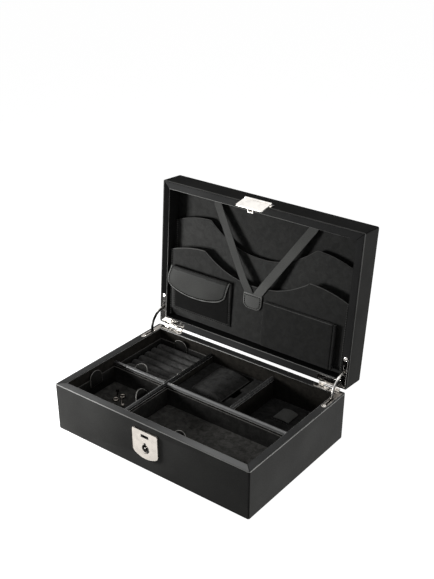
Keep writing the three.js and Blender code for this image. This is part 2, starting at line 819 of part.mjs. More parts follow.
// The lid leaf carries two ears and a rivet, from which the stay hangs
function lidLeaf(side) {
  const z1 = lidRim + leafThick;
  const earNear = legX - stayThick / 2 - seatGap - earThick;
  const earFar = legX + stayThick / 2 + seatGap + earThick;
  let leaf = hingeLeaf(side, 'lid', lidRim)
    .subtract(staySlot(side, lidSlotFront, lidSlotBack, staySlotWidth, lidRim - overrun, z1 + overrun))
    .subtract(screwPocket(side, lidRim, 1));
  const earRoot = z1 - leafThick / 2;
  const earFront = lidEyeY - earRadius;
  const earBack = lidEyeY + earRadius;
  for (const near of [earNear, earFar - earThick]) {
    const far = near + earThick;
    leaf = leaf.add(sideBlock(side, near, far, earFront, earBack, earRoot, lidEyeZ));
    leaf = leaf.add(rodAlongX(lidEyeY, lidEyeZ, earRadius, side * near, side * far, 4));
  }
  return leaf.add(rodAlongX(lidEyeY, lidEyeZ, stayPinRadius, side * earNear, side * earFar, 4));
}

// Stay at rest with the lid open: an arc about the hinge axis, an eye at its top and a stop pin at its foot
function stay(side) {
  const rivetAngle = Math.PI - openAngle - Math.asin(stayRivetRise / stayRadius);
  const footAngle = Math.PI + THREE.MathUtils.degToRad(stayStopDegrees);
  const near = side * (legX - stayThick / 2);
  const far = side * (legX + stayThick / 2);
  const inner = stayRadius - stayWidth / 2;
  const outer = stayRadius + stayWidth / 2;
  const shape = new THREE.Shape();
  shape.absarc(hingeY, hingeZ, outer, rivetAngle, footAngle, false);
  shape.absarc(hingeY, hingeZ, inner, footAngle, rivetAngle, true);
  const at = (angle) => [hingeY + stayRadius * Math.cos(angle), hingeZ + stayRadius * Math.sin(angle)];
  const [eyeY, eyeZ] = at(rivetAngle);
  const [pinY, pinZ] = at(footAngle);
  const pinNear = side * (legX - stayPinLength / 2);
  const pinFar = side * (legX + stayPinLength / 2);
  return slabAlongX(shape, Math.min(near, far), Math.max(near, far), 16)
    .add(rodAlongX(eyeY, eyeZ, stayWidth / 2, near, far, 4))
    .add(rodAlongX(pinY, pinZ, stayPinRadius, pinNear, pinFar, 3))
    .subtract(rodAlongX(eyeY, eyeZ, stayPinRadius + stayEyeGap, near * 2, 0, 4));
}

for (const [name, side] of [['left', -1], ['right', 1]]) {
  add(group, `${name}_base_leaf`, baseLeaf(side), nickel);
  const pin = rodAlongX(hingeY, hingeZ, pinRadius, side * knuckleEndX, side * knuckleFarX, 4);
  add(group, `${name}_hinge_pin`, pin, nickel);
  add(group, `${name}_base_screw`, screw(side, baseHeight, -1), nickel);
  add(group, `${name}_stay`, stay(side), nickel);
  add(lidShut, `${name}_lid_leaf`, lidLeaf(side), nickel);
  add(lidShut, `${name}_lid_screw`, screw(side, lidRim, 1), nickel);
}

// Lid carcass, rim and lining: the pieces keep the seat gap to each other
function lidCarcass() {
  let shell = outerBlock(lidRim, lidTop);
  shell = shell.subtract(block(-woodX, woodX, -woodY, woodY, lidRim - overrun, lidTop - lidTopThick));
  const rimX = halfWidth - edgeLip;
  const rimY = halfDepth - edgeLip;
  shell = shell.subtract(block(-rimX, rimX, -rimY, rimY, lidRim - overrun, lidRim + rimThick + seatGap));
  const leafTop = lidRim + leafThick + seatGap;
  const mortiseTop = lidRim + lidMortiseDepth;
  for (const side of [-1, 1]) {
    const mortise = staySlot(side, lidSlotFront, lidSlotBack, mortiseWidth, lidRim, mortiseTop);
    shell = shell.subtract(leafRecess(side, 'lid', lidRim - overrun, leafTop)).subtract(mortise);
    const screwTop = lidRim + screwLength + seatGap;
    shell = shell.subtract(screwHole(side, screwShankRadius + seatGap, lidRim, screwTop));
  }
  return shell;
}

function lidRimFacing() {
  let rim = frame(halfWidth - edgeLip - seatGap, halfDepth - edgeLip - seatGap, innerX, innerY,
    lidRim, lidRim + rimThick);
  for (const side of [-1, 1]) {
    rim = rim.subtract(leafRecess(side, 'lid', lidRim - overrun, lidRim + rimThick + overrun));
  }
  return rim;
}

const boardFace = lidRim + liningDepth;
const liningFace = lidRim + rimThick + seatGap;
add(lidShut, 'lid_carcass', lidCarcass(), leather);
add(lidShut, 'lid_rim', lidRimFacing(), rimLeather);
add(lidShut, 'lid_wall_lining', frame(woodX - seatGap, woodY - seatGap, innerX, innerY, liningFace,
  lidTop - lidTopThick - seatGap), lidSuede);
const boardX = innerX - seatGap;
const boardY = innerY - seatGap;
add(lidShut, 'lid_lining_board', block(-boardX, boardX, -boardY, boardY, boardFace,
  lidTop - lidTopThick - seatGap), lidSuede);

// A place in the lid at a share of the lining's height
const atShare = (share) => innerY - 2 * innerY * share;

// Document pockets: a shaped front panel with side gussets and a foot that reach back to the layer behind
const pocketPeakX = innerX * pocketPeakShare;

function pocketEdge(x, sideY, peakY, centreY) {
  const far = Math.abs(x);
  if (far <= pocketPeakX) {
    return centreY + (peakY - centreY) * (far / pocketPeakX) ** peakToCentrePowerShare;
  }
  const share = (far - pocketPeakX) / (innerX - pocketPeakX);
  return peakY + (sideY - peakY) * share ** peakToSidePowerShare;
}

function pocketOutline(half, foot, sideY, peakY, centreY) {
  const points = [new THREE.Vector2(half, foot), new THREE.Vector2(-half, foot)];
  const sideSteps = 4;
  const middleSteps = 12;
  for (let i = 0; i < sideSteps; i += 1) {
    const x = -half + (half - pocketPeakX) * i / sideSteps;
    points.push(new THREE.Vector2(x, pocketEdge(x, sideY, peakY, centreY)));
  }
  for (let i = 0; i <= middleSteps; i += 1) {
    const x = -pocketPeakX + 2 * pocketPeakX * i / middleSteps;
    points.push(new THREE.Vector2(x, pocketEdge(x, sideY, peakY, centreY)));
  }
  for (let i = 1; i <= sideSteps; i += 1) {
    const x = pocketPeakX + (half - pocketPeakX) * i / sideSteps;
    points.push(new THREE.Vector2(x, pocketEdge(x, sideY, peakY, centreY)));
  }
  return new THREE.Shape(points.reverse());
}

function pocket(depth, behind, edge) {
  const front = lidRim + depth;
  const foot = boardY;
  const outline = pocketOutline(boardX, foot, edge.side, edge.peak, edge.centre);
  const hollow = block(-boardX + pocketThick, boardX - pocketThick, -innerY, foot - pocketThick,
    front + pocketThick, behind + overrun);
  return slab(outline, front, behind - seatGap).subtract(hollow);
}
const upperFace = lidRim + upperPocketDepth;
const lowerFace = lidRim + lowerPocketDepth;
const upperEdge = {
  side: atShare(upperSideShare),
  peak: atShare(upperPeakShare),
  centre: atShare(upperCentreShare),
};
const lowerEdge = {
  side: atShare(lowerSideShare),
  peak: atShare(lowerPeakShare),
  centre: atShare(lowerCentreShare),
};
add(lidShut, 'upper_pocket', pocket(upperPocketDepth, boardFace, upperEdge), lidSuede);
add(lidShut, 'lower_pocket', pocket(lowerPocketDepth, upperFace, lowerEdge), lidSuede);

// Straps: flat bands that run from the lid's front wall down to the D-shaped tab
const strapEndY = atShare(strapEndShare);

function strap(side) {
  const strapTopX = innerX - strapSideGap;
  const strapBendX = strapTopX - strapBendShift;
  const strapBendY = strapBendDrop - innerY;
  const tailZ = lowerFace - seatGap - strapThick / 2;
  const slope = new THREE.Vector2(strapEndX - strapBendX, strapEndY - strapBendY).normalize();
  const wallY = -innerY + seatGap;
  const overEdgeY = lowerEdge.centre - strapWidth / 2;
  const overEdgeX = strapEndX + (overEdgeY - strapEndY) * slope.x / slope.y;
  const stations = [
    [strapTopX, wallY, lidRim + strapTopDepth],
    [strapBendX, strapBendY, lidRim + strapBendDepth],
    [overEdgeX, overEdgeY, tailZ],
    [strapEndX, strapEndY, tailZ],
    [strapEndX + slope.x * strapTailLength, strapEndY + slope.y * strapTailLength, tailZ],
  ];
  const across = new THREE.Vector2(-slope.y, slope.x).multiplyScalar(strapWidth / 2);
  const positions = [];
  stations.forEach(([x, y, z], i) => {
    const offset = i === 0 ? new THREE.Vector2(-strapWidth / 2, 0) : across;
    for (const [reach, lift] of [[-1, -1], [1, -1], [1, 1], [-1, 1]]) {
      positions.push(x + reach * offset.x, y + reach * offset.y, z + lift * strapThick / 2);
    }
  });
  const index = [0, 2, 1, 0, 3, 2];
  for (let i = 0; i < stations.length - 1; i += 1) {
    for (let k = 0; k < 4; k += 1) {
      const a = 4 * i + k;
      const b = 4 * i + (k + 1) % 4;
      index.push(a, b + 4, a + 4, a, b, b + 4);
    }
  }
  const last = 4 * (stations.length - 1);
  index.push(last, last + 1, last + 2, last, last + 2, last + 3);
  const geometry = new THREE.BufferGeometry();
  geometry.setAttribute('position', new THREE.BufferAttribute(new Float32Array(positions), 3));
  geometry.setIndex(index);
  const half = block(seatGap / 2, halfWidth, -halfDepth, halfDepth, lidRim, lidTop);
  const right = solidOf(geometry).intersect(half);
  return side > 0 ? right : right.mirror([1, 0, 0]);
}
add(lidShut, 'left_strap', strap(-1), strapLeather);
add(lidShut, 'right_strap', strap(1), strapLeather);

function strapTab() {
  const tabPlateTop = atShare(tabPlateShare);
  const tabPlateFoot = tabPlateTop + tabPlateHeight;
  const z0 = lowerFace - strapThick - 2 * seatGap - tabPlateThick;
  const arcX = tabPlateHalfWidth - tabPlateRound;
  const arcY = tabPlateFoot - tabPlateRound;
  const shape = new THREE.Shape();
  shape.moveTo(-tabPlateHalfWidth, tabPlateTop);
  shape.lineTo(tabPlateHalfWidth, tabPlateTop);
  shape.lineTo(tabPlateHalfWidth, arcY);
  shape.absarc(arcX, arcY, tabPlateRound, 0, Math.PI / 2, false);
  shape.lineTo(-arcX, tabPlateFoot);
  shape.absarc(-arcX, arcY, tabPlateRound, Math.PI / 2, Math.PI, false);
  const sewnTop = strapEndY + strapTailLength + strapWidth / 2;
  const sewn = block(-strapWidth, strapWidth, sewnTop, tabPlateFoot, z0, lowerFace - seatGap);
  const reach = slab(shape, z0, z0 + tabPlateThick, 5);
  return reach.add(sewn.intersect(slab(shape, z0, lowerFace, 5)));
}
add(lidShut, 'strap_tab', strapTab(), strapLeather);

// Flap pouch: an open-topped flat bag, and the flap that folds over its front
function bag(left, right, top, foot, face, back) {
  const wall = pouchWall;
  const hollow = block(left + wall, right - wall, top - overrun, foot - wall, face + wall, back - wall);
  return block(left, right, top, foot, face, back).subtract(hollow);
}
const bagBack = lowerFace - seatGap;
const pouchLeft = pouchSideGap - innerX;
const pouchTop = atShare(pouchTopShare);
const pouchFoot = atShare(pouchFootShare);
const flatPocketRight = innerX - flatPocketSideGap;
const flatPocketTop = atShare(flatPocketTopShare);
const flatPocketFoot = atShare(flatPocketFootShare);
const pouchFace = lidRim + flapThick + seatGap;
const pouch = bag(pouchLeft, pouchRight, pouchTop, pouchFoot, pouchFace, bagBack);
const flatPocket = bag(flatPocketLeft, flatPocketRight, flatPocketTop, flatPocketFoot, lidRim, bagBack);
add(lidShut, 'pouch', pouch, lidSuede);
add(lidShut, 'flat_pocket', flatPocket, lidSuede);

function pouchFlap() {
  const flapLeft = pouchLeft - flapSideReach;
  const flapRight = pouchRight + flapRightReach;
  const flapTop = pouchTop - flapTopReach;
  const flapSideFoot = flapTop + flapSideHeight;
  const flapFoot = flapTop + flapHeight;
  const middle = (flapLeft + flapRight) / 2;
  const shape = new THREE.Shape();
  shape.moveTo(flapLeft, flapTop);
  shape.lineTo(flapRight, flapTop);
  shape.lineTo(flapRight, flapSideFoot);
  shape.quadraticCurveTo(middle, 2 * flapFoot - flapSideFoot, flapLeft, flapSideFoot);
  const fold = block(flapLeft, flapRight, flapTop, flapTop + flapThick, lidRim, bagBack - seatGap);
  return slab(shape, lidRim, lidRim + flapThick, 12).add(fold);
}
add(lidShut, 'pouch_flap', pouchFlap(), strapLeather);

// Hasp: a bracket on the lid's front, a pin, and a hinged plate with a staple
const haspY = -halfDepth - haspAhead;
const haspZ = baseHeight + haspAxisRise;
const hasp = new THREE.Group();
hasp.position.set(0, haspY, haspZ);
hasp.rotation.x = THREE.MathUtils.degToRad(haspDroopDegrees);
lidShut.add(hasp);
const haspBore = haspPinRadius + pinGap;
const haspHalf = haspWidth / 2;
const tongueHalf = haspTongueWidth / 2;

function haspBracket() {
  const face = -halfDepth - seatGap;
  let bracket = block(-haspHalf, haspHalf, face - bracketThick, face, haspZ, haspZ + bracketHeight);
  const near = tongueHalf + seatGap;
  const foot = haspZ - haspBarrelRadius;
  const top = haspZ + haspBarrelRadius;
  for (const side of [-1, 1]) {
    bracket = bracket.add(rodAlongX(haspY, haspZ, haspBarrelRadius, side * near, side * haspHalf));
    bracket = bracket.add(sideBlock(side, near, haspHalf, haspY, face, haspZ + haspBore, top));
  }
  const tongueRoom = block(-near, near, haspY - haspBarrelRadius, face - bracketThick, foot, top);
  return bracket.subtract(tongueRoom)
    .subtract(rodAlongX(haspY, haspZ, haspBore, -halfWidth, halfWidth, 4));
}

function haspPlate() {
  const inner = haspThick - haspFaceOffset;
  const root = -haspBarrelRadius - seatGap;
  const foot = root - haspLength;
  const outline = roundedRect(-haspHalf, haspHalf, foot, root, haspCorner);
  const plate = slabAlongY(outline, -haspFaceOffset, inner, 4);
  const stapleZ = slotHeight - haspZ;
  const loop = block(-stapleWidth / 2, stapleWidth / 2, 0, inner + stapleReach,
    stapleZ - stapleHeight / 2, stapleZ + stapleHeight / 2);
  const eye = block(-stapleWidth / 2 + stapleRod, stapleWidth / 2 - stapleRod, inner + stapleRod / 2,
    inner + stapleReach - stapleRod, stapleZ - stapleHeight, stapleZ + stapleHeight);
  return plate
    .add(block(-tongueHalf, tongueHalf, -haspFaceOffset, inner, root - overrun, -haspBore))
    .add(rodAlongX(0, 0, haspBarrelRadius, -tongueHalf, tongueHalf))
    .add(loop)
    .subtract(eye)
    .subtract(rodAlongX(0, 0, haspBore, -halfWidth, halfWidth, 4));
}
add(lidShut, 'hasp_bracket', haspBracket(), nickel);
add(hasp, 'hasp_pin', rodAlongX(0, 0, haspPinRadius, -haspHalf, haspHalf, 4), nickel);
add(hasp, 'hasp_plate', haspPlate(), nickel);

export default group;
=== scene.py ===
"""Watch and jewellery box: leather shell, suede inside, stitched lid pockets and nickel fittings.

Sizes are in metres, in the frame of the packed model. A piece of the lid is drawn shut, as its box is
easier to read that way, and is then turned open about the hinge axis.
"""

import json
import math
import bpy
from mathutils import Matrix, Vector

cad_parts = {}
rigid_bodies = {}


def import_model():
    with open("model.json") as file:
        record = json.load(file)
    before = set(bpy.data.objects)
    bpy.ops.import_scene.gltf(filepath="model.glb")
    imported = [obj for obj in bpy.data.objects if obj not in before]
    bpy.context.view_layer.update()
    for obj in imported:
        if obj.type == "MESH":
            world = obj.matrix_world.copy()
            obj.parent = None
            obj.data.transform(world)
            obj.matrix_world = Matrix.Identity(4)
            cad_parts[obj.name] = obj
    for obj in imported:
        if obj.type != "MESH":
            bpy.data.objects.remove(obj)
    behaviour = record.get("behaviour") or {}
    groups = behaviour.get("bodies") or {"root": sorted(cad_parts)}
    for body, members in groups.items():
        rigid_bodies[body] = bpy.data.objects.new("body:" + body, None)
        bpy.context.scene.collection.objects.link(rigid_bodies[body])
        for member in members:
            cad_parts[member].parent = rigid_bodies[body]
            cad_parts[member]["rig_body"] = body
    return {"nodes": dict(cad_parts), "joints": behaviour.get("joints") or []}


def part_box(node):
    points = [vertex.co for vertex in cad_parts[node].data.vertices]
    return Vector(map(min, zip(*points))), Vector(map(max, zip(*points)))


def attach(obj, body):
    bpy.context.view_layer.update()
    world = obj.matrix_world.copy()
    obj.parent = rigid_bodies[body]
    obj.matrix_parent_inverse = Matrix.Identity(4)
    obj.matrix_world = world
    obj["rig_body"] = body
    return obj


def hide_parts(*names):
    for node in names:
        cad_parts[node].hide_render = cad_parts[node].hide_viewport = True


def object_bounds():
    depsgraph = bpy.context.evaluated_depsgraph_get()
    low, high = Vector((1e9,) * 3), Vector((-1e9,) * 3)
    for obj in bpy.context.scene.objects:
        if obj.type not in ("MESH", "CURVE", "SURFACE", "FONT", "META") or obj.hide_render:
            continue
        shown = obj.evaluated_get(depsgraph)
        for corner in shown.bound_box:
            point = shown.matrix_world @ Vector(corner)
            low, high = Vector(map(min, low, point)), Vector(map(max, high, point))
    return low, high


bl_info = {
    "name": "Watch and jewellery box",
    "version": (1, 0, 0),
    "blender": (4, 5, 0),
    "location": "3D Viewport > Sidebar > Jewellery Box",
    "description": "Dresses the packed model of a watch and jewellery box",
    "category": "Object",
}

import bmesh
import bpy
from mathutils import Matrix, Vector, noise

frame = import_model()

MM = 0.001
NODES = frame["nodes"]
CAD_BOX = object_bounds()

# The lid's hinge, from the record: the rest pose is open
HINGE = next(joint for joint in frame["joints"] if joint["name"] == "lid_hinge")
HINGE_POINT = Vector(HINGE["pos_m"])
OPEN_ANGLE = math.radians(-HINGE["range_deg"][0])
TURN_OPEN = (
    Matrix.Translation(HINGE_POINT)
    @ Matrix.Rotation(-OPEN_ANGLE, 4, "X")
    @ Matrix.Translation(-HINGE_POINT)
)
TURN_SHUT = TURN_OPEN.inverted()
OUTWARD = Vector((0, 0, -1))


def box_of(node, matrix):
    """Lowest and highest corner of a node that is moved by a matrix."""
    points = [matrix @ v.co for v in NODES[node].data.vertices]
    return tuple(Vector(pick(p[i] for p in points) for i in range(3)) for pick in (min, max))


def shut_box(node):
    """Lowest and highest corner of a lid node with the lid shut."""
    return box_of(node, TURN_SHUT)


# Settings that a user would change


def colour(name, thing, value):
    """A colour property with its default."""
    return bpy.props.FloatVectorProperty(
        name=name, description="Colour of the " + thing, default=value, subtype="COLOR", size=3, min=0, max=1
    )


def length(name, description, millimetres):
    """A length property in metres, with its default in millimetres."""
    return bpy.props.FloatProperty(
        name=name, description=description, default=millimetres * MM, min=0, unit="LENGTH", precision=5
    )


def share(name, description, value):
    """A plain number from nothing to one."""
    return bpy.props.FloatProperty(name=name, description=description, default=value, min=0, max=1)


def power(name, description, watts):
    """A light's power."""
    return bpy.props.FloatProperty(name=name, description=description, default=watts, min=0, unit="POWER")


class LeatherSettings(bpy.types.PropertyGroup):
    """Finish of the leather."""

    shell: colour("Shell", "outside leather", (0.04, 0.0398, 0.0384))
    rim: colour("Rim", "leather on rims and dividers", (0.094, 0.0945, 0.094))
    strap: colour("Strap", "straps, flap and tabs", (0.062, 0.0625, 0.06))
    # The edge colour is a painted highlight along the rounded edges of the shell and rims, and on the dividers' cut
    # lip.
    edge: colour("Edge", "worn and cut edges", (0.4, 0.4, 0.388))
    grain: length("Grain", "Width of one pebble of the grain", 0.9)
    shell_round: length("Shell edge", "Rounding of the shell's edges", 0.9)
    rim_round: length("Rim edge", "Rounding of the rim strips", 0.7)


class SuedeSettings(bpy.types.PropertyGroup):
    """Finish of the suede."""

    lining: colour("Lining", "wall lining in the base", (0.0125, 0.0112, 0.0094))
    tray: colour("Trays", "trays", (0.074, 0.0722, 0.068))
    pad: colour("Pads", "pads and rolls", (0.054, 0.0535, 0.052))
    lid: colour("Lid", "lid lining and pockets", (0.032, 0.032, 0.031))
    mottle: length("Mottle", "Width of a patch of brushed nap", 9)


class StitchSettings(bpy.types.PropertyGroup):
    """Sewing thread."""

    thread: length("Thread", "Width of the thread", 1.35)
    stitch: length("Stitch", "Length of one stitch", 2.0)
    spacing: length("Spacing", "Distance from stitch to stitch", 3.3)
    groove: length("Groove", "Width of the thread between two stitches", 0.3)
    dark: colour("Dark thread", "thread on leather", (0.004, 0.004, 0.004))
    light: colour("Light thread", "thread on suede", (0.1, 0.1, 0.096))


class MetalSettings(bpy.types.PropertyGroup):
    """Nickel fittings."""

    bright: colour("Nickel", "polished nickel", (0.86, 0.83, 0.79))
    satin: colour("Satin nickel", "lock plate", (0.55, 0.51, 0.465))
    shade: colour("Dark nickel", "keys and the lock's works", (0.2, 0.18, 0.16))
    polish: share("Roughness", "Roughness of the polished nickel", 0.07)
    edge_round: length("Metal edge", "Rounding of the plates' edges", 0.3)


class StageSettings(bpy.types.PropertyGroup):
    """Light and floor."""

    key_power: power("Key light", "Power of the light at the front left", 3.5)
    fill_power: power("Fill light", "Power of the light at the right", 4.5)
    top_power: power("Top light", "Power of the light overhead", 1.45)
    ambient: share("Ambient", "Strength of the room's own light", 0.04)
    floor: colour("Floor", "floor", (0.55, 0.55, 0.55))
    floor_lift: share("Floor lift", "How far the floor is lifted to the white of the background", 0.97)


SETTINGS = {
    "box_leather": LeatherSettings,
    "box_suede": SuedeSettings,
    "box_stitch": StitchSettings,
    "box_metal": MetalSettings,
    "box_stage": StageSettings,
}


def settings(name):
    """The scene's settings of one group."""
    return getattr(bpy.context.scene, name)


# Node trees


def feed(tree, node, inputs):
    """Sets a node's inputs. An input is a number, a colour, an object or another node's output."""
    for key, value in inputs.items():
        if isinstance(value, bpy.types.NodeSocket):
            tree.links.new(value, node.inputs[key])
        else:
            node.inputs[key].default_value = value
    return node


def put(tree, kind, inputs=None, **values):
    """A node with its values and its inputs set."""
    node = tree.nodes.new(kind)
    for key, value in values.items():
        setattr(node, key, value)
    return feed(tree, node, inputs or {})


def out(tree, kind, inputs=None, **values):
    """The first output of a new node."""
    return put(tree, kind, inputs, **values).outputs[0]


def arithmetic(tree, operation, *parts):
    """The output of one Math node."""
    return out(tree, "ShaderNodeMath", dict(enumerate(parts)), operation=operation)


def ramp(tree, value, low, high, to_low=0.0, to_high=1.0):
    """A value moved from one range to another and clamped, as an output."""
    inputs = {"Value": value, "From Min": low, "From Max": high, "To Min": to_low, "To Max": to_high}
    return put(tree, "ShaderNodeMapRange", inputs).outputs["Result"]


def blend_colours(tree, factor, first, second):
    """Two colours mixed by a factor, as an output."""
    return put(tree, "ShaderNodeMix", {0: factor, 6: first, 7: second}, data_type="RGBA").outputs[2]


def scaled(tint, factor):
    """A colour with alpha, made lighter or darker."""
    return (*(min(1.0, part * factor) for part in tint), 1.0)


def start_material(name):
    """A new material with its tree and its object coordinates."""
    material = bpy.data.materials.new(name)
    material.use_nodes = True
    tree = material.node_tree
    return material, tree, put(tree, "ShaderNodeTexCoord").outputs["Object"]


def end_material(material, inputs, height, strength, distance):
    """The material with its shader's inputs set and a bump on its normal."""
    tree = material.node_tree
    bump = {"Height": height, "Strength": strength, "Distance": distance}
    inputs["Normal"] = put(tree, "ShaderNodeBump", bump).outputs["Normal"]
    feed(tree, tree.nodes["Principled BSDF"], inputs)
    return material


def noise_at(tree, place, scale, detail=2.0, distortion=0.0):
    """A noise pattern, as an output from nothing to one."""
    inputs = {"Vector": place, "Scale": scale, "Detail": detail, "Distortion": distortion}
    return put(tree, "ShaderNodeTexNoise", inputs).outputs["Fac"]


# How much lighter the painted light makes the leather, and from which X to which X the painted light on the front
# strip grows
PAINTED_LIGHT_TONE = 3.7
PAINTED_LIGHT_FROM, PAINTED_LIGHT_TO = -10 * MM, 95 * MM


def painted_front_light(tree, place):
    """Wear that grows towards the right end of the front strip."""
    x, _, _ = parts_of(tree, place)
    return arithmetic(tree, "POWER", ramp(tree, x, PAINTED_LIGHT_FROM, PAINTED_LIGHT_TO), 1.3)


def leather(name, tint, rough, gloss, mark=None, painted_light=None):
    """Pebbled leather: fine grain, slow changes of tone and a soft gloss.

    A mark is a mask of a dark line. Wear is a mask of leather that handling has made lighter.
    """
    grain = settings("box_leather").grain
    material, tree, place = start_material(name)
    pebble = put(tree, "ShaderNodeTexVoronoi", {"Vector": place, "Scale": 1 / grain}, feature="SMOOTH_F1")
    pebble = pebble.outputs["Distance"]
    crease = noise_at(tree, place, 0.35 / grain, 3.0, 0.4)
    tone = arithmetic(tree, "MULTIPLY_ADD", pebble, 0.35, noise_at(tree, place, 16.0))
    shade = blend_colours(tree, ramp(tree, tone, 0.45, 0.95), scaled(tint, 0.82), scaled(tint, 1.28))
    height = arithmetic(tree, "MULTIPLY_ADD", crease, 0.7, pebble)
    if painted_light:
        shade = blend_colours(tree, painted_light(tree, place), shade, scaled(tint, PAINTED_LIGHT_TONE))
    if mark:
        line = mark(tree, place)
        shade = blend_colours(tree, line, shade, scaled(tint, 0.1))
        height = arithmetic(tree, "MULTIPLY_ADD", line, -3.0, height)
    roughness = ramp(tree, crease, 0.3, 0.7, rough - 0.05, rough + 0.06)
    inputs = {"Base Color": shade, "Roughness": roughness, "Specular IOR Level": gloss}
    return end_material(material, inputs, height, 0.32, 0.16 * MM)


def suede(name, tint, contrast, sheen):
    """Brushed suede: cloudy patches of nap with a fine fibre."""
    mottle = settings("box_suede").mottle
    material, tree, place = start_material(name)
    patches = noise_at(tree, place, 1 / mottle, 4.0, 0.9)
    fibre = noise_at(tree, place, 1600.0)
    strokes = noise_at(tree, place, 3.2 / mottle, 3.0, 2.2)
    cloud = arithmetic(tree, "MULTIPLY_ADD", strokes, 0.55, patches)
    nap = ramp(tree, arithmetic(tree, "MULTIPLY_ADD", fibre, 0.3, cloud), 0.72, 1.16)
    inputs = {
        "Base Color": blend_colours(tree, nap, scaled(tint, 1 - 0.42 * contrast), scaled(tint, 1 + 0.62 * contrast)),
        "Roughness": 0.95,
        "Specular IOR Level": 0.08,
        "Sheen Weight": sheen,
        "Sheen Roughness": 0.5,
    }
    return end_material(material, inputs, arithmetic(tree, "MULTIPLY_ADD", fibre, 0.5, strokes), 0.3, 0.2 * MM)


def nickel(name, tint, dullness, dark=0.93, patch=90.0):
    """Polished nickel with faint wiping marks. Its darker patches have their own shade and size."""
    rough = settings("box_metal").polish * dullness
    material, tree, place = start_material(name)
    wiped = out(tree, "ShaderNodeMapping", {"Vector": place, "Scale": (60.0, 60.0, 900.0)})
    cloud = noise_at(tree, place, patch)
    inputs = {
        "Base Color": blend_colours(tree, ramp(tree, cloud, 0.42, 0.56), scaled(tint, dark), scaled(tint, 1.05)),
        "Roughness": ramp(tree, cloud, 0.3, 0.7, rough * 0.7, rough * 1.5),
        "Metallic": 1.0,
    }
    return end_material(material, inputs, noise_at(tree, wiped, 3.0, 3.0), 0.05, 0.05 * MM)


def thread_finish(name, tint):
    """Waxed thread with its twist."""
    material, tree, place = start_material(name)
    twist = noise_at(tree, place, 2600.0)
    shade = blend_colours(tree, twist, scaled(tint, 0.7), scaled(tint, 1.4))
    inputs = {"Base Color": shade, "Roughness": 0.8, "Specular IOR Level": 0.03}
    return end_material(material, inputs, twist, 0.4, 0.1 * MM)


def felt(name, tint):
    """Short felt under the base."""
    material, tree, place = start_material(name)
    fibre = noise_at(tree, place, 1900.0, 4.0)
    shade = blend_colours(tree, fibre, scaled(tint, 0.5), scaled(tint, 1.6))
    return end_material(material, {"Base Color": shade, "Roughness": 1.0}, fibre, 0.6, 0.3 * MM)


# Lines that lie on leather: where two edges of a cover meet

CORNER_SEAM_X = 159.3 * MM
CORNER_SEAM_Y = 107.4 * MM
SEAM_HALF = 0.3 * MM
MITRE_OFFSET = 51.9 * MM


def parts_of(tree, place):
    """X, Y and Z of a place, as outputs."""
    return put(tree, "ShaderNodeSeparateXYZ", {"Vector": place}).outputs[0:3]


def beside(tree, place):
    """How far a place is from the box's middle in X and in Y, as outputs."""
    return [arithmetic(tree, "ABSOLUTE", part) for part in parts_of(tree, place)[:2]]


def shut_place(tree, place):
    """Object coordinates of a lid piece turned back to the shut lid."""
    inputs = {"Vector": place, "Location": TURN_SHUT.to_translation(), "Rotation": tuple(TURN_SHUT.to_euler())}
    return out(tree, "ShaderNodeMapping", inputs)


def line_at(tree, distance):
    """The mask of a seam by the distance from its middle."""
    return ramp(tree, distance, SEAM_HALF, SEAM_HALF * 2, 1.0, 0.0)


def corner_seam(tree, place):
    """The upright seam at each outside corner of the shell."""
    x, y = beside(tree, place)
    across = arithmetic(tree, "SUBTRACT", x, CORNER_SEAM_X)
    along_y = arithmetic(tree, "SUBTRACT", y, CORNER_SEAM_Y)
    squared = arithmetic(tree, "MULTIPLY_ADD", across, across, arithmetic(tree, "MULTIPLY", along_y, along_y))
    return line_at(tree, arithmetic(tree, "SQRT", squared))


def lid_corner_seam(tree, place):
    """The corner seams of the lid."""
    return corner_seam(tree, shut_place(tree, place))


def mitre(tree, place):
    """The slanting joint of the rim strips at each corner."""
    x, y = beside(tree, place)
    offset = arithmetic(tree, "SUBTRACT", arithmetic(tree, "SUBTRACT", x, y), MITRE_OFFSET)
    near = line_at(tree, arithmetic(tree, "ABSOLUTE", offset))
    inner_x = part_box("base_floor_lining")[1].x
    return arithmetic(tree, "MULTIPLY", near, arithmetic(tree, "GREATER_THAN", x, inner_x))


def lid_mitre(tree, place):
    """The same joint on the lid's rim."""
    return mitre(tree, shut_place(tree, place))


# Finishes. Each row has the slot in the record, the kind, the setting of the colour or the colour itself, how
# much of that colour is taken, and the kind's own values. A finish that never leads a piece has no slot.

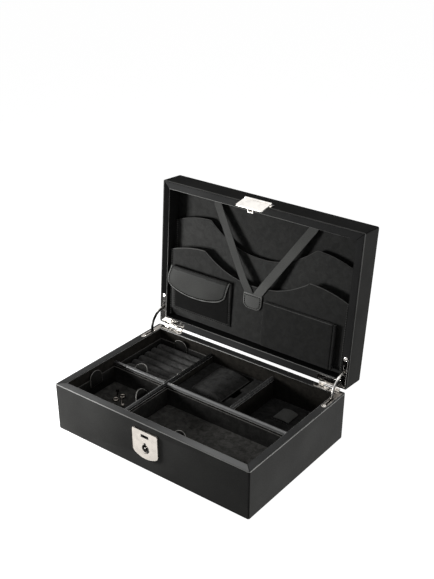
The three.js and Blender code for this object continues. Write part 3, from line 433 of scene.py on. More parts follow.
FINISHES = {
    "shell_leather": ("shell_leather", leather, "leather.shell", 1.0, 0.42, 0.02, corner_seam),
    # Painted shade: the lid's shell is a darker copy of the shell leather. Painted light: its front face takes a
    # lighter copy with almost no gloss.
    "lid_shell_leather": ("shell_leather", leather, "leather.shell", 0.7, 0.42, 0.006, lid_corner_seam),
    "lid_front_leather": (None, leather, "leather.shell", 1.15, 0.42, 0.001, lid_corner_seam),
    # Painted highlights: the shell's rounded edges take lighter edge leather where light glances off them.
    "shell_edge": (None, leather, "leather.edge", 0.85, 0.4, 0.1),
    "lid_shell_edge": (None, leather, "leather.edge", 0.3, 0.5, 0.02),
    "rim_leather": ("rim_leather", leather, "leather.rim", 1.0, 0.42, 0.05, mitre),
    # Painted shade: the base rim's left and back strips are a darker copy of the rim leather.
    "rim_shade": (None, leather, "leather.rim", 0.45, 0.45, 0.02, mitre),
    # Painted light: the base rim's front strip grows lighter towards its right end.
    "rim_front": (None, leather, "leather.rim", 1.0, 0.42, 0.05, mitre, painted_front_light),
    # Painted highlight along the base rim's inner edges. The same finish lightens the dividers' cut lip.
    "rim_edge": (None, leather, "leather.edge", 1.0, 0.38, 0.3),
    # Painted shade: the lid's rim is a darker copy of the rim leather, and its left strip is darker still. Its inner
    # edges take a painted highlight.
    "lid_rim_leather": ("rim_leather", leather, "leather.rim", 0.34, 0.5, 0.01, lid_mitre),
    "lid_rim_shade": (None, leather, "leather.rim", 0.05, 0.5, 0.004, lid_mitre),
    "lid_rim_edge": (None, leather, "leather.edge", 0.6, 0.5, 0.02),
    # The dividers' caps are lighter and darker copies of the rim leather, one per divider: painted light and shade.
    "divider_leather": ("rim_leather", leather, "leather.rim", 0.7, 0.25, 0.8),
    "divider_light": ("rim_leather", leather, "leather.rim", 1.6, 0.18, 1.0),
    "divider_shade": ("rim_leather", leather, "leather.rim", 0.12, 0.25, 0.75),
    # The strap leather's copies stand in for light. The tab leather, on the D tab and the right strap, and the holder
    # leather are lighter: painted light. The flap and, darker still, its fold band are painted shade. strap_edge is a
    # painted highlight along edges.
    "strap_leather": ("strap_leather", leather, "leather.strap", 1.0, 0.55, 0.03),
    "strap_edge": (None, leather, "leather.strap", 2.4, 0.5, 0.03),
    "flap_leather": ("strap_leather", leather, "leather.strap", 0.72, 0.5, 0.03),
    "fold_leather": (None, leather, "leather.strap", 0.36, 0.5, 0.03),
    "tab_leather": ("strap_leather", leather, "leather.strap", 1.6, 0.5, 0.04),
    "holder_leather": ("strap_leather", leather, "leather.strap", 2.6, 0.5, 0.06),
    "lining_suede": ("suede", suede, "suede.lining", 1.0, 1.1, 0.02),
    "tray_suede": ("tray_suede", suede, "suede.tray", 1.0, 1.0, 0.02),
    # Painted shade on the trays' walls and a painted highlight on their rounded rims.
    "tray_wall_suede": (None, suede, "suede.tray", 0.2, 1.0, 0.01),
    "tray_edge": (None, suede, "suede.tray", 1.5, 0.5, 0.02),
    "tab_suede": ("tray_suede", suede, "suede.tray", 0.16, 0.8, 0.01),
    # The tabs' cut edge, lightened further as a painted highlight.
    "tab_edge": (None, suede, "suede.tray", 4.8, 0.3, 0.02),
    "pad_suede": ("suede", suede, "suede.pad", 0.85, 1.0, 0.03),
    # Painted shade: the watch pad and the small pad take a darker copy of the pad suede. The cuff's side edges and
    # the rolls take lighter copies, painted light.
    "dark_pad_suede": ("suede", suede, "suede.pad", 0.45, 1.2, 0.02),
    "pad_edge": (None, suede, "suede.pad", 2.0, 0.5, 0.02),
    "roll_suede": ("suede", suede, "suede.pad", 1.5, 0.9, 0.05),
    "lid_suede": ("lid_suede", suede, "suede.lid", 1.0, 0.4, 0.03),
    # Painted shade: the lid's wall lining is a darker copy of the lid suede, and the inner face of its back wall is
    # darker still.
    "lid_wall_suede": ("lid_suede", suede, "suede.lid", 0.2, 0.4, 0.02),
    "lid_wall_shade": (None, suede, "suede.lid", 0.06, 0.4, 0.0),
    # The pockets are lighter and darker copies of the lid suede. The upper pocket is painted light. The lower and
    # flat pockets are painted shade, and the pouch's front, in the flap's shadow, is darkest. Their top edges take
    # pocket_edge, a painted highlight.
    "upper_pocket_suede": ("lid_suede", suede, "suede.lid", 1.15, 0.4, 0.03),
    "lower_pocket_suede": ("lid_suede", suede, "suede.lid", 0.85, 0.4, 0.03),
    "flat_pocket_suede": ("lid_suede", suede, "suede.lid", 0.62, 0.4, 0.03),
    "pouch_suede": ("lid_suede", suede, "suede.lid", 0.15, 0.4, 0.02),
    "pocket_edge": (None, suede, "suede.lid", 2.6, 0.3, 0.03),
    "nickel": ("nickel", nickel, "metal.bright", 1.0, 1.0),
    "hinge_nickel": ("nickel", nickel, "metal.bright", 1.0, 2.0, 0.62, 140.0),
    "hasp_nickel": ("nickel", nickel, "metal.bright", 1.1, 3.714),
    "satin_nickel": ("nickel", nickel, "metal.satin", 1.0, 4.0),
    "dull_nickel": ("nickel", nickel, "metal.satin", 0.62, 5.0),
    # Painted shade and reflection: a near-black copy of the bright nickel, on metal that shows dark reflections.
    "leaf_nickel": ("dark_nickel", nickel, "metal.bright", 0.02, 4.0),
    "dark_nickel": ("dark_nickel", nickel, "metal.shade", 1.0, 2.0),
    "dark_thread": ("strap_leather", thread_finish, "stitch.dark", 1.0),
    "light_thread": ("lid_suede", thread_finish, "stitch.light", 1.0),
    "felt": ("felt", felt, (0.012, 0.012, 0.012), 1.0),
}
MADE = {}


def finish_of(name):
    """A finish by name, made when it is first asked for."""
    if name not in MADE:
        _, kind, source, factor, *values = FINISHES[name]
        if isinstance(source, str):
            group, part = source.split(".")
            source = getattr(settings("box_" + group), part)
        MADE[name] = kind(name, [part * factor for part in source], *values)
    return MADE[name]


# Pieces

# Edges that turn by more than this, in degrees, stay sharp on most pieces
CORNER_ANGLE = 38


def mesh_of(shape, name):
    """A mesh from a bmesh, which is freed."""
    mesh = bpy.data.meshes.new(name)
    shape.to_mesh(mesh)
    shape.free()
    return mesh


def add_object(name, data):
    """An object in the scene."""
    made = bpy.data.objects.new(name, data)
    bpy.context.scene.collection.objects.link(made)
    return made


def evaluated_mesh(thing):
    """The plain mesh of an object with its modifiers."""
    return bpy.data.meshes.new_from_object(thing.evaluated_get(bpy.context.evaluated_depsgraph_get()))


def add_piece(name, mesh, finish, body, nodes=(), extra=()):
    """An object with its finish that rides on a body and stands for CAD nodes."""
    for each in (finish, *extra):
        mesh.materials.append(finish_of(each))
    piece = add_object(name, mesh)
    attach(piece, body)
    if nodes:
        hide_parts(*nodes)
    return piece


def add_shape(name, shape, angle, finish, body, nodes=(), extra=()):
    """A bmesh as a piece. Edges that turn by more than the angle stay sharp. No angle leaves every face flat."""
    mesh = mesh_of(shape, name)
    if angle:
        mesh.shade_smooth()
        mesh.set_sharp_from_angle(angle=math.radians(angle))
    return add_piece(name, mesh, finish, body, nodes, extra)


def stand_in(node, shape, angle, finish, *extra):
    """A shape as the piece that takes a CAD node's place."""
    return add_shape(node + "_finished", shape, angle, finish, NODES[node]["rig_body"], [node], extra)


def merged_copy(node):
    """A CAD node's shape with its loose triangles joined."""
    shape = bmesh.new()
    shape.from_mesh(NODES[node].data)
    bmesh.ops.remove_doubles(shape, verts=shape.verts, dist=1e-6)
    return outward(shape)


def round_edges(shape, width, segments, chosen):
    """Rounds the chosen edges, and gives the new faces the second material."""
    edges = [edge for edge in shape.edges if edge.is_manifold and chosen(edge)]
    made = bmesh.ops.bevel(
        shape, geom=edges, offset=width, offset_type="OFFSET", segments=segments,
        profile=0.5, clamp_overlap=False, affect="EDGES",
    )
    for face in made["faces"]:
        face.material_index = 1


def is_corner(edge):
    """True where an edge is a convex corner."""
    return edge.calc_face_angle_signed(0.0) > math.radians(40)


def dress(node, finish, width, segments, least, chosen=None, edge_finish=None, first=None):
    """A rounded copy of a CAD node in its finish, with flat faces that stay flat between the rounded edges.

    Only edges longer than least, in millimetres, are rounded. First is done to the shape before that.
    """
    shape = merged_copy(node)
    if first:
        first(shape)
    round_edges(
        shape, width, segments,
        lambda edge: is_corner(edge) and edge.calc_length() > least * MM and (chosen is None or chosen(edge)),
    )
    piece = stand_in(node, shape, CORNER_ANGLE, finish, edge_finish or finish)
    even = piece.modifiers.new("even_normals", "WEIGHTED_NORMAL")
    even.weight = 100
    even.keep_sharp = True
    return piece


def recolour(piece, finish, rule):
    """Another finish for those faces of a piece where a rule holds."""
    material, materials = finish_of(finish), piece.data.materials
    if materials.find(material.name) < 0:
        materials.append(material)
    index = materials.find(material.name)
    for face in piece.data.polygons:
        if rule(face):
            face.material_index = index


def mark(shape, rule):
    """Numbers a shape's faces by their finish: a rule of a face's middle gives the number."""
    for face in shape.faces:
        face.material_index = int(rule(face.calc_center_median()))


def paint(node, finish):
    """A CAD node that stays, in a better finish."""
    mesh = NODES[node].data
    mesh.materials.clear()
    mesh.materials.append(finish_of(finish))


# Shapes


def rounded_block(low, high, radius, cuts, lift=None):
    """A block with rounded edges, cut into a grid. Lift moves each vertex by a rule."""
    low, high = Vector(low), Vector(high)
    shape = bmesh.new()
    bmesh.ops.create_cube(shape, size=2)
    bmesh.ops.subdivide_edges(shape, edges=shape.edges, cuts=cuts, use_grid_fill=True)
    middle = (low + high) / 2
    half = (high - low) / 2
    core = Vector(max(0.0, part - radius) for part in half)
    for vertex in shape.verts:
        share_of = vertex.co.copy()
        spread = Vector(math.sin(part * math.pi / 2) if abs(part) < 1 else part for part in share_of)
        place = Vector(spread[i] * half[i] for i in range(3))
        held = Vector(max(-core[i], min(core[i], place[i])) for i in range(3))
        away = place - held
        if away.length > 0:
            place = held + away.normalized() * radius
        vertex.co = middle + place
        if lift:
            vertex.co += lift(vertex.co, share_of)
    return shape


def grid_sheet(place, columns, rows, thick):
    """A closed sheet from a rule place(u, v), u and v from nothing to one, with a rounded rim."""
    shape = bmesh.new()
    front = [[shape.verts.new(place(i / columns, j / rows)) for j in range(rows + 1)] for i in range(columns + 1)]
    for i in range(columns):
        for j in range(rows):
            shape.faces.new((front[i][j], front[i + 1][j], front[i + 1][j + 1], front[i][j + 1]))
    shape.normal_update()
    bmesh.ops.solidify(shape, geom=shape.faces[:], thickness=thick)
    return outward(shape)


def stand_up(low, high, along_x):
    """A matrix that stands a slab up on its outline's foot: along X from low, or along Y from low."""
    if along_x:
        return Matrix(((0, 0, 1, low.x), (1, 0, 0, (low.y + high.y) / 2), (0, 1, 0, 0), (0, 0, 0, 1)))
    return Matrix(((1, 0, 0, (low.x + high.x) / 2), (0, 0, 1, low.y), (0, 1, 0, 0), (0, 0, 0, 1)))


def outward(shape):
    """The shape with its normals pointing out."""
    bmesh.ops.recalc_face_normals(shape, faces=shape.faces)
    return shape


def turn(shape, matrix):
    """Moves a bmesh by a matrix."""
    bmesh.ops.transform(shape, matrix=matrix, verts=shape.verts)


def cut(shape, point, normal):
    """Cuts a shape's faces at a plane. Both sides stay."""
    everything = [*shape.verts, *shape.edges, *shape.faces]
    bmesh.ops.bisect_plane(shape, geom=everything, plane_co=point, plane_no=normal)


def prism(outline, z0, z1):
    """A closed slab from an outline of points in X and Y."""
    shape = bmesh.new()
    low, high = ([shape.verts.new((x, y, z)) for x, y in outline] for z in (z0, z1))
    shape.faces.new(low[::-1])
    shape.faces.new(high)
    bridge(shape, [low, high])
    return outward(shape)


def join(shape, other):
    """Adds another bmesh to a shape."""
    mesh = mesh_of(other, "joined")
    shape.from_mesh(mesh)
    bpy.data.meshes.remove(mesh)


def bridge(shape, rings, around=False):
    """The faces between each ring of vertices and the next, and from the last to the first if they go around."""
    faces = []
    for first, second in zip(rings, [*rings[1:], rings[0]] if around else rings[1:]):
        for k in range(len(first)):
            n = (k + 1) % len(first)
            faces.append(shape.faces.new((first[k], first[n], second[n], second[k])))
    return faces


def circle(count):
    """Even angles round a circle."""
    return [2 * math.pi * k / count for k in range(count)]


def polar(reach, angle):
    """X and Y of a point at a distance and an angle from the origin."""
    return reach * math.cos(angle), reach * math.sin(angle)


def arc(centre, radius, start, end, steps):
    """Points along an arc, from one angle to another in degrees."""
    angles = (math.radians(start + (end - start) * i / steps) for i in range(steps + 1))
    return [(centre[0] + x, centre[1] + y) for x, y in (polar(radius, angle) for angle in angles)]


def eased(part):
    """A share that rises fast and then slowly, and stays at one."""
    return 1 - (1 - min(1.0, part)) ** 2


# Geometry Nodes: trees that repeat a small shape


def tree_with(name, **sockets):
    """An empty geometry tree with the given inputs, its group input and the output socket."""
    tree = bpy.data.node_groups.new(name, "GeometryNodeTree")
    for label, kind in {"Geometry": "Geometry", **sockets}.items():
        tree.interface.new_socket(label, in_out="INPUT", socket_type="NodeSocket" + kind)
    tree.interface.new_socket("Geometry", in_out="OUTPUT", socket_type="NodeSocketGeometry")
    return tree, put(tree, "NodeGroupInput").outputs, put(tree, "NodeGroupOutput").inputs[0]


def finish_tree(tree, instances, given, output):
    """Realize Instances, smooth shading and Set Material at a tree's end."""
    real = out(tree, "GeometryNodeRealizeInstances", {"Geometry": instances})
    soft = out(tree, "GeometryNodeSetShadeSmooth", {"Geometry": real})
    tree.links.new(out(tree, "GeometryNodeSetMaterial", {"Geometry": soft, "Material": given["Material"]}), output)


def facing(tree, tangent, normal):
    """A rotation with X along the tangent and Z towards the normal."""
    first = out(tree, "FunctionNodeAlignRotationToVector", {"Vector": tangent}, axis="X")
    inputs = {"Rotation": first, "Vector": normal}
    return out(tree, "FunctionNodeAlignRotationToVector", inputs, axis="Z", pivot_axis="X")


def stitch_tree():
    """Stitches along the edges of a mesh."""
    sizes = {label: "Float" for label in ("Spacing", "Length", "Thread", "Groove")}
    tree, given, output = tree_with("stitches", **sizes, Facing="Vector", Material="Material")
    run = out(tree, "GeometryNodeMeshToCurve", {"Mesh": given["Geometry"]})
    spaced = out(tree, "GeometryNodeResampleCurve", {"Curve": run, "Length": given["Spacing"]}, mode="LENGTH")
    bead = out(tree, "GeometryNodeMeshUVSphere", {"Segments": 8, "Rings": 5, "Radius": 0.5})
    size = out(tree, "ShaderNodeCombineXYZ", {0: given["Length"], 1: given["Thread"], 2: given["Thread"]})
    stitch = out(tree, "GeometryNodeTransform", {"Geometry": bead, "Scale": size})
    turned = facing(tree, out(tree, "GeometryNodeInputTangent"), given["Facing"])
    sewn = out(tree, "GeometryNodeInstanceOnPoints", {"Points": spaced, "Instance": stitch, "Rotation": turned})
    half = arithmetic(tree, "MULTIPLY", given["Groove"], 0.5)
    ring = out(tree, "GeometryNodeCurvePrimitiveCircle", {"Resolution": 6, "Radius": half})
    groove = out(tree, "GeometryNodeCurveToMesh", {"Curve": run, "Profile Curve": ring, "Fill Caps": True})
    both = put(tree, "GeometryNodeJoinGeometry")
    for part in (sewn, groove):
        tree.links.new(part, both.inputs[0])
    finish_tree(tree, both.outputs[0], given, output)
    return tree


def copies_tree():
    """Copies of one object at the vertices of a mesh, turned to face one way."""
    tree, given, output = tree_with("copies", Shape="Object", Facing="Vector", Material="Material")
    shape = put(tree, "GeometryNodeObjectInfo", {"Object": given["Shape"]}).outputs["Geometry"]
    turned = out(tree, "FunctionNodeAlignRotationToVector", {"Vector": given["Facing"]}, axis="Z")
    points = out(tree, "GeometryNodeMeshToPoints", {"Mesh": given["Geometry"]})
    inputs = {"Points": points, "Instance": shape, "Rotation": turned}
    finish_tree(tree, out(tree, "GeometryNodeInstanceOnPoints", inputs), given, output)
    return tree


TREES = {"stitches": stitch_tree, "copies": copies_tree}


def grow(name, kind, host_mesh, values):
    """The plain mesh that a tree makes from a host mesh."""
    tree = bpy.data.node_groups.get(kind) or TREES[kind]()
    host = add_object(name + "_host", host_mesh)
    modifier = host.modifiers.new("grow", "NODES")
    modifier.node_group = tree
    for item in tree.interface.items_tree:
        if item.in_out == "INPUT" and item.name in values:
            modifier[item.identifier] = values[item.name]
    mesh = evaluated_mesh(host)
    host.modifiers.remove(modifier)
    bpy.data.objects.remove(host)
    mesh.name = name
    mesh.materials.clear()
    return mesh


def copies(name, shape, points, way, finish):
    """The mesh of copies of one shape at some points, each turned to face one way."""
    template = add_object(name + "_shape", mesh_of(shape, name + "_shape"))
    host = bpy.data.meshes.new(name)
    host.from_pydata([tuple(point) for point in points], [], [])
    values = {"Shape": template, "Facing": tuple(way), "Material": finish_of(finish)}
    mesh = grow(name, "copies", host, values)
    bpy.data.objects.remove(template)
    return mesh


def sew(name, runs, body, thread, matrix=TURN_OPEN, facing_way=OUTWARD):
    """Stitches along runs of points, as one piece on a body. Runs on the lid are given with the lid shut."""
    sewing = settings("box_stitch")
    points, edges = [], []
    for run in runs:
        edges += [(len(points) + i, len(points) + i + 1) for i in range(len(run) - 1)]
        points += [matrix @ Vector(point) for point in run]
    lines = bpy.data.meshes.new(name)
    lines.from_pydata(points, edges, [])
    values = {
        "Spacing": sewing.spacing,
        "Groove": sewing.groove,
        "Length": sewing.stitch,
        "Thread": sewing.thread,
        "Facing": tuple(matrix.to_3x3() @ facing_way),
        "Material": finish_of(thread),
    }
    add_piece(name, grow(name, "stitches", lines, values), thread, body)


# Shell and linings


def outer_edge(matrix, low, high, rim_z):
    """A test for the edges round the shell's outside. At the rim, the edge beside the hinges stays sharp."""
    slack = 2.6 * MM
    far_z = low.z + high.z - rim_z

    def test(edge):
        ends = [matrix @ vertex.co for vertex in edge.verts]
        at_rim, at_far = (all(abs(end.z - z) < 0.05 * MM for end in ends) for z in (rim_z, far_z))
        outside = all(abs(end.x) > high.x - slack or abs(end.y) > high.y - slack for end in ends)
        by_hinges = all(end.y > high.y - slack for end in ends)
        return outside and (at_far or (at_rim and not by_hinges))

    return test


def inner_edge(matrix):
    """A test for the edges round a rim's opening."""
    slack = 0.5 * MM
    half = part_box("base_floor_lining")[1]

    def test(edge):
        ends = [matrix @ vertex.co for vertex in edge.verts]
        return all(abs(end.x) < half.x + slack and abs(end.y) < half.y + slack for end in ends)

    return test


def cut_mitres(shape, matrix):
    """Cuts a rim at its slanting joints, so that each strip can have its own tone."""
    turn(shape, matrix)
    for slope in (-1, 1):
        for side in (-1, 1):
            cut(shape, (side * MITRE_OFFSET, 0, 0), (1, slope, 0))
    turn(shape, matrix.inverted())


def strip_at(spot):
    """The rim strip that a spot lies on, with the box shut."""
    if abs(spot.x) - abs(spot.y) > MITRE_OFFSET:
        return "left" if spot.x < 0 else "right"
    return "back" if spot.y > 0 else "front"


class JEWELBOX_OT_shell(bpy.types.Operator):
    """Covers the base and the lid with leather, with rounded edges and rim strips."""

    bl_idname = "jewelbox.shell"
    bl_label = "Leather shell"

    def execute(self, context):
        hide = settings("box_leather")
        to_shut = TURN_SHUT.to_3x3()
        for node, prefix, matrix in (("base_carcass", "", Matrix()), ("lid_carcass", "lid_", TURN_SHUT)):
            low, high = box_of(node, matrix)
            chosen = outer_edge(matrix, low, high, low.z if prefix else high.z)
            # The rounded edges take the edge finish, a painted highlight.
            shell = dress(node, prefix + "shell_leather", hide.shell_round, 3, 0.5, chosen, prefix + "shell_edge")
            # Painted light: the lid's front face takes a lighter copy of the leather with almost no gloss.
            if prefix:
                recolour(
                    shell, "lid_front_leather",
                    lambda face: face.material_index == 0 and (to_shut @ face.normal).y < -0.99,
                )
        # Painted light and shade by strip: the base rim's left and back strips and the lid rim's left strip are
        # darker, and the base rim's front strip is lighter.
        for node, prefix, matrix, shaded, front in (
            ("base_rim", "", Matrix(), ("left", "back"), ("front",)),
            ("lid_rim", "lid_", TURN_SHUT, ("left",), ()),
        ):
            rim = dress(
                node, prefix + "rim_leather", hide.rim_round, 2, 6, inner_edge(matrix), prefix + "rim_edge",
                lambda shape: cut_mitres(shape, matrix),
            )
            for finish, strips in ((prefix + "rim_shade", shaded), ("rim_front", front)):
                recolour(
                    rim, finish,
                    lambda face: face.material_index == 0 and strip_at(matrix @ face.center) in strips,
                )
        paint("base_bottom_board", "lining_suede")
        paint("base_felt", "felt")
        return {"FINISHED"}


class JEWELBOX_OT_linings(bpy.types.Operator):
    """Gives the linings, ledges and dividers their suede and leather."""

    bl_idname = "jewelbox.linings"
    bl_label = "Linings and dividers"

    def execute(self, context):
        for node in ("base_wall_lining", "base_floor_lining", "ring_tray_ledge", "key_tray_ledge", "wide_tray_ledge"):
            paint(node, "lining_suede")
        # Painted shade: the lid's wall lining is a darker copy of the lid suede.
        paint("lid_wall_lining", "lid_wall_suede")
        paint("lid_lining_board", "lid_suede")

        # Painted shade: the inner face of the lid's back wall is darker still.
        def behind(face):
            return (TURN_SHUT @ face.center).y > 0 and (TURN_SHUT.to_3x3() @ face.normal).y < -0.5

        recolour(NODES["lid_wall_lining"], "lid_wall_shade", behind)
        # Painted light on the right cross divider's cap and painted shade on the main divider's cap.
        for node, finish in (
            ("main_divider", "divider_shade"),
            ("left_cross_divider", "divider_leather"),
            ("right_cross_divider", "divider_light"),
            ("short_divider", "divider_leather"),
        ):
            divider(node, finish)
        return {"FINISHED"}


def divider(node, finish):
    """A suede-covered board with a round leather cap, in place of a divider."""
    low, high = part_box(node)
    size = high - low
    half = min(size.x, size.y) / 2
    cap_foot = high.z - 5 * MM
    waist = half - 0.45 * MM
    lip = 0.5 * MM
    right = [(waist, low.z), (waist, cap_foot), (half, cap_foot), (half, cap_foot + lip)]
    left = [(-x, y) for x, y in reversed(right)]
    shape = prism([*right, *arc((0, high.z - half), half, 0, 180, 14), *left], 0, max(size.x, size.y))
    # The cap's sides below its lip take the lining suede, and the lip takes the edge finish, a painted highlight.
    for face in shape.faces:
        middle = face.calc_center_median()
        if len(face.verts) == 4 and middle.y < cap_foot + lip:
            face.material_index = 1 if middle.y < cap_foot - lip else 2
    turn(shape, stand_up(low, high, size.x > size.y))
    outward(shape)
    stand_in(node, shape, 30, finish, "lining_suede", "rim_edge")


# Trays, rolls and pads


class JEWELBOX_OT_trays(bpy.types.Operator):
    """Makes the lift-out trays and their pull tabs."""

    bl_idname = "jewelbox.trays"
    bl_label = "Trays"

    def execute(self, context):
        for node in ("ring_tray", "key_tray", "wide_tray"):
            # Painted highlight on the rounded rims and painted shade on the walls: lighter and darker copies of the
            # tray suede.
            tray = dress(node, "tray_suede", 0.5 * MM, 2, 10, None, "tray_edge")
            recolour(tray, "tray_wall_suede", lambda face: face.material_index == 0 and abs(face.normal.z) < 0.5)
        for node in TAB_LEAN:
            pull_tab(node)
        return {"FINISHED"}


# The pull tabs, and how far the top of each leans, in millimetres
TAB_LEAN = {
    "ring_tray_back_tab": (3.0, -3.0),
    "ring_tray_front_tab": (4.0, 6.0),
    "key_tray_left_tab": (0.0, -1.0),
    "key_tray_right_tab": (-6.5, 0.0),
    "wide_tray_tab": (0.0, 6.5),
}
# Where the wide tray's tab is sewn, beside its place in the source, in millimetres
WIDE_TAB_MOVE = Vector((3.0, 0.0, 1.5))


def pull_tab(node):
    """A half-round leather tab with a dyed cut edge, which leans a little."""
    low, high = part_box(node)
    size = high - low
    across_y = size.x > size.y
    half, thick = max(size.x, size.y) / 2, min(size.x, size.y)
    rise = 11 * MM
    top = [(x * half, high.z - rise + y * rise) for x, y in arc((0, 0), 1, 0, 180, 28)]
    shape = prism([(-half, low.z), (half, low.z), *top], 0, thick)
    turn(shape, stand_up(low, high, not across_y))
    outward(shape)
    round_edges(shape, 0.3 * MM, 2, is_corner)
    for step in range(1, 8):
        cut(shape, (0, 0, low.z + size.z * step / 8), (0, 0, 1))
    # The cut edge takes the lighter edge finish, partly a painted highlight.
    for face in shape.faces:
        face.material_index = 1 if abs(face.normal[1 if across_y else 0]) < 0.95 else 0
    lean = Vector((*TAB_LEAN[node], 0.0)) * MM
    moved = WIDE_TAB_MOVE * MM if node == "wide_tray_tab" else Vector()
    for vertex in shape.verts:
        vertex.co += moved + lean * ((vertex.co.z - low.z) / size.z) ** 2
    stand_in(node, shape, 50, "tab_suede", "tab_edge")


# How far the rolls reach past their board on the left
ROLL_REACH = 2 * MM


def roll_shape(length_x, radius):
    """One suede roll along X: a long round pad with a domed left end."""
    steps = 44
    shape = bmesh.new()
    rings = []
    for i in range(steps + 1):
        x = length_x * (0.5 - 0.5 * math.cos(math.pi * i / steps))
        swell = math.sqrt(max(0.0, eased(x / (4.2 * MM)) * eased((length_x - x) / (1.6 * MM))))
        ring = []
        for angle in circle(28):
            wave = 1 + 0.018 * noise.noise(Vector((x * 90, *polar(1.7, angle))))
            ring.append(shape.verts.new((x, *polar(radius * max(0.02, swell) * wave, angle))))
        rings.append(ring)
    bridge(shape, rings)
    shape.faces.new(rings[0][::-1])
    shape.faces.new(rings[-1])
    return outward(shape)


class JEWELBOX_OT_rolls(bpy.types.Operator):
    """Makes the ring rolls as soft suede rolls on a thin board."""

    bl_idname = "jewelbox.rolls"
    bl_label = "Ring rolls"

    count: bpy.props.IntProperty(name="Rolls", description="How many rolls", default=6, min=1)

    def execute(self, context):
        low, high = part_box("ring_pad")
        front_strip = 5.1 * MM
        pitch = (high.y - low.y - front_strip) / self.count
        radius = pitch / 2 - 0.05 * MM
        start = Vector((low.x - ROLL_REACH, high.y - pitch / 2, high.z - radius))
        points = [start - Vector((0, pitch * i, 0)) for i in range(self.count)]
        roll = roll_shape(high.x - low.x + ROLL_REACH, radius)
        # The rolls take a lighter copy of the pad suede: painted light.
        mesh = copies("ring_rolls", roll, points, (0, 0, 1), "roll_suede")
        rolls = add_piece("ring_rolls", mesh, "roll_suede", "ring_tray", ["ring_pad"])
        board_top = high.z - radius - 2 * MM
        board = rounded_block(low, (high.x, high.y, board_top), 0.8 * MM, 6)
        add_shape("ring_board", board, CORNER_ANGLE, "tray_suede", "ring_tray")
        return {"FINISHED"}


class JEWELBOX_OT_pads(bpy.types.Operator):
    """Makes the watch pad, its cuff, the small pad and the strap holder."""

    bl_idname = "jewelbox.pads"
    bl_label = "Pads and cuff"

    def execute(self, context):
        watch_pad()
        watch_cuff()
        small_pad()
        strap_holder()
        return {"FINISHED"}


def watch_pad():
    """The watch pad: a suede block with eased edges, a deep well and slightly wavy nap."""
    source = add_object("watch_pad_net", mesh_of(merged_copy("watch_pad"), "watch_pad_net"))
    remesh = source.modifiers.new("net", "REMESH")
    remesh.mode = "VOXEL"
    remesh.voxel_size = 1.0 * MM
    shape = bmesh.new()
    shape.from_mesh(evaluated_mesh(source))
    bpy.data.objects.remove(source)
    axes = {"use_axis_x": True, "use_axis_y": True, "use_axis_z": True}
    for _ in range(4):
        bmesh.ops.smooth_vert(shape, verts=shape.verts, factor=0.5, **axes)
    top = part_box("watch_pad")[1].z
    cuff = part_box("watch_cuff")[0]
    for vertex in shape.verts:
        if vertex.co.z > top - 1.5 * MM:
            off_slit = abs(vertex.co.x - cuff.x + 0.5 * MM)
            in_slit = off_slit < 0.75 * MM and cuff.y + TONGUE_FRONT < vertex.co.y < cuff.y + TONGUE_BACK
            vertex.co.z += 0.25 * MM * noise.noise(vertex.co * 70) - (3.5 * MM if in_slit else 0.1 * MM)
    # Painted shade: the watch pad takes a darker copy of the pad suede.
    stand_in("watch_pad", shape, 180, "dark_pad_suede")


def arch_height(share_across, rise, crown):
    """Height of an arch over its foot at a share of its width."""
    return rise * (1 - ((share_across - crown) / max(crown, 1 - crown)) ** 2)


# Where the cuff's tongue begins and ends, from the cuff's front
TONGUE_FRONT, TONGUE_BACK = 16.4 * MM, 39.6 * MM


def inside(low, high, inset, u, v):
    """X and Y of a place in a box's plan, at a share of its width and depth, inside an inset."""
    return tuple(low[i] + inset + (high[i] - low[i] - 2 * inset) * part for i, part in enumerate((u, v)))


def watch_cuff():
    """The arched cuff that a watch is laid on, with its tongue in the pad."""
    low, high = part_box("watch_cuff")
    thick, inset, crown, rise = 1.6 * MM, 0.4 * MM, 0.425, 6.6 * MM

    def place(u, v):
        x, y = inside(low, high, inset, u, v)
        edge = min(u, 1 - u, v, 1 - v)
        droop = 0.5 * MM * max(0.0, 1 - edge / 0.03)
        ripple = 0.12 * MM * noise.noise(Vector((x * 60, y * 60, 0)))
        return Vector((x, y, high.z - rise + eased(v / 0.09) * arch_height(u, rise, crown) - droop + ripple))

    shape = grid_sheet(place, 48, 48, thick - inset)
    # The cuff's side edges take a lighter copy of the suede, a painted highlight.
    mark(shape, lambda middle: min(middle.x - low.x, high.x - middle.x) < 1.1 * MM)
    stand_in("watch_cuff", shape, 60, "pad_suede", "pad_edge")
    tongue_low = low + Vector((0.9 * MM, TONGUE_FRONT, 0))
    tongue_high = low + Vector((2.1 * MM, TONGUE_BACK, 6 * MM + thick))
    tongue = rounded_block(tongue_low, tongue_high, 0.5 * MM, 3)
    add_shape("cuff_tongue", tongue, CORNER_ANGLE, "pad_suede", "watch_cuff")


def fall(share_of):
    """How far a crowned face has fallen at a share of its width and depth: nothing at its middle, one at its edge."""
    return 1 - (1 - share_of.x**2) * (1 - share_of.y**2)


def small_pad():
    """The small pad: a crowned suede cushion."""

    def lift(place, share_of):
        if share_of.z < 0.9:
            return Vector()
        return Vector((0, 0, 0.15 * MM * noise.noise(place * 90) - 0.7 * MM * fall(share_of)))

    shape = rounded_block(*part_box("small_pad"), 1.6 * MM, 22, lift)
    # Painted shade: the small pad takes a darker copy of the pad suede.
    stand_in("small_pad", shape, 60, "dark_pad_suede")


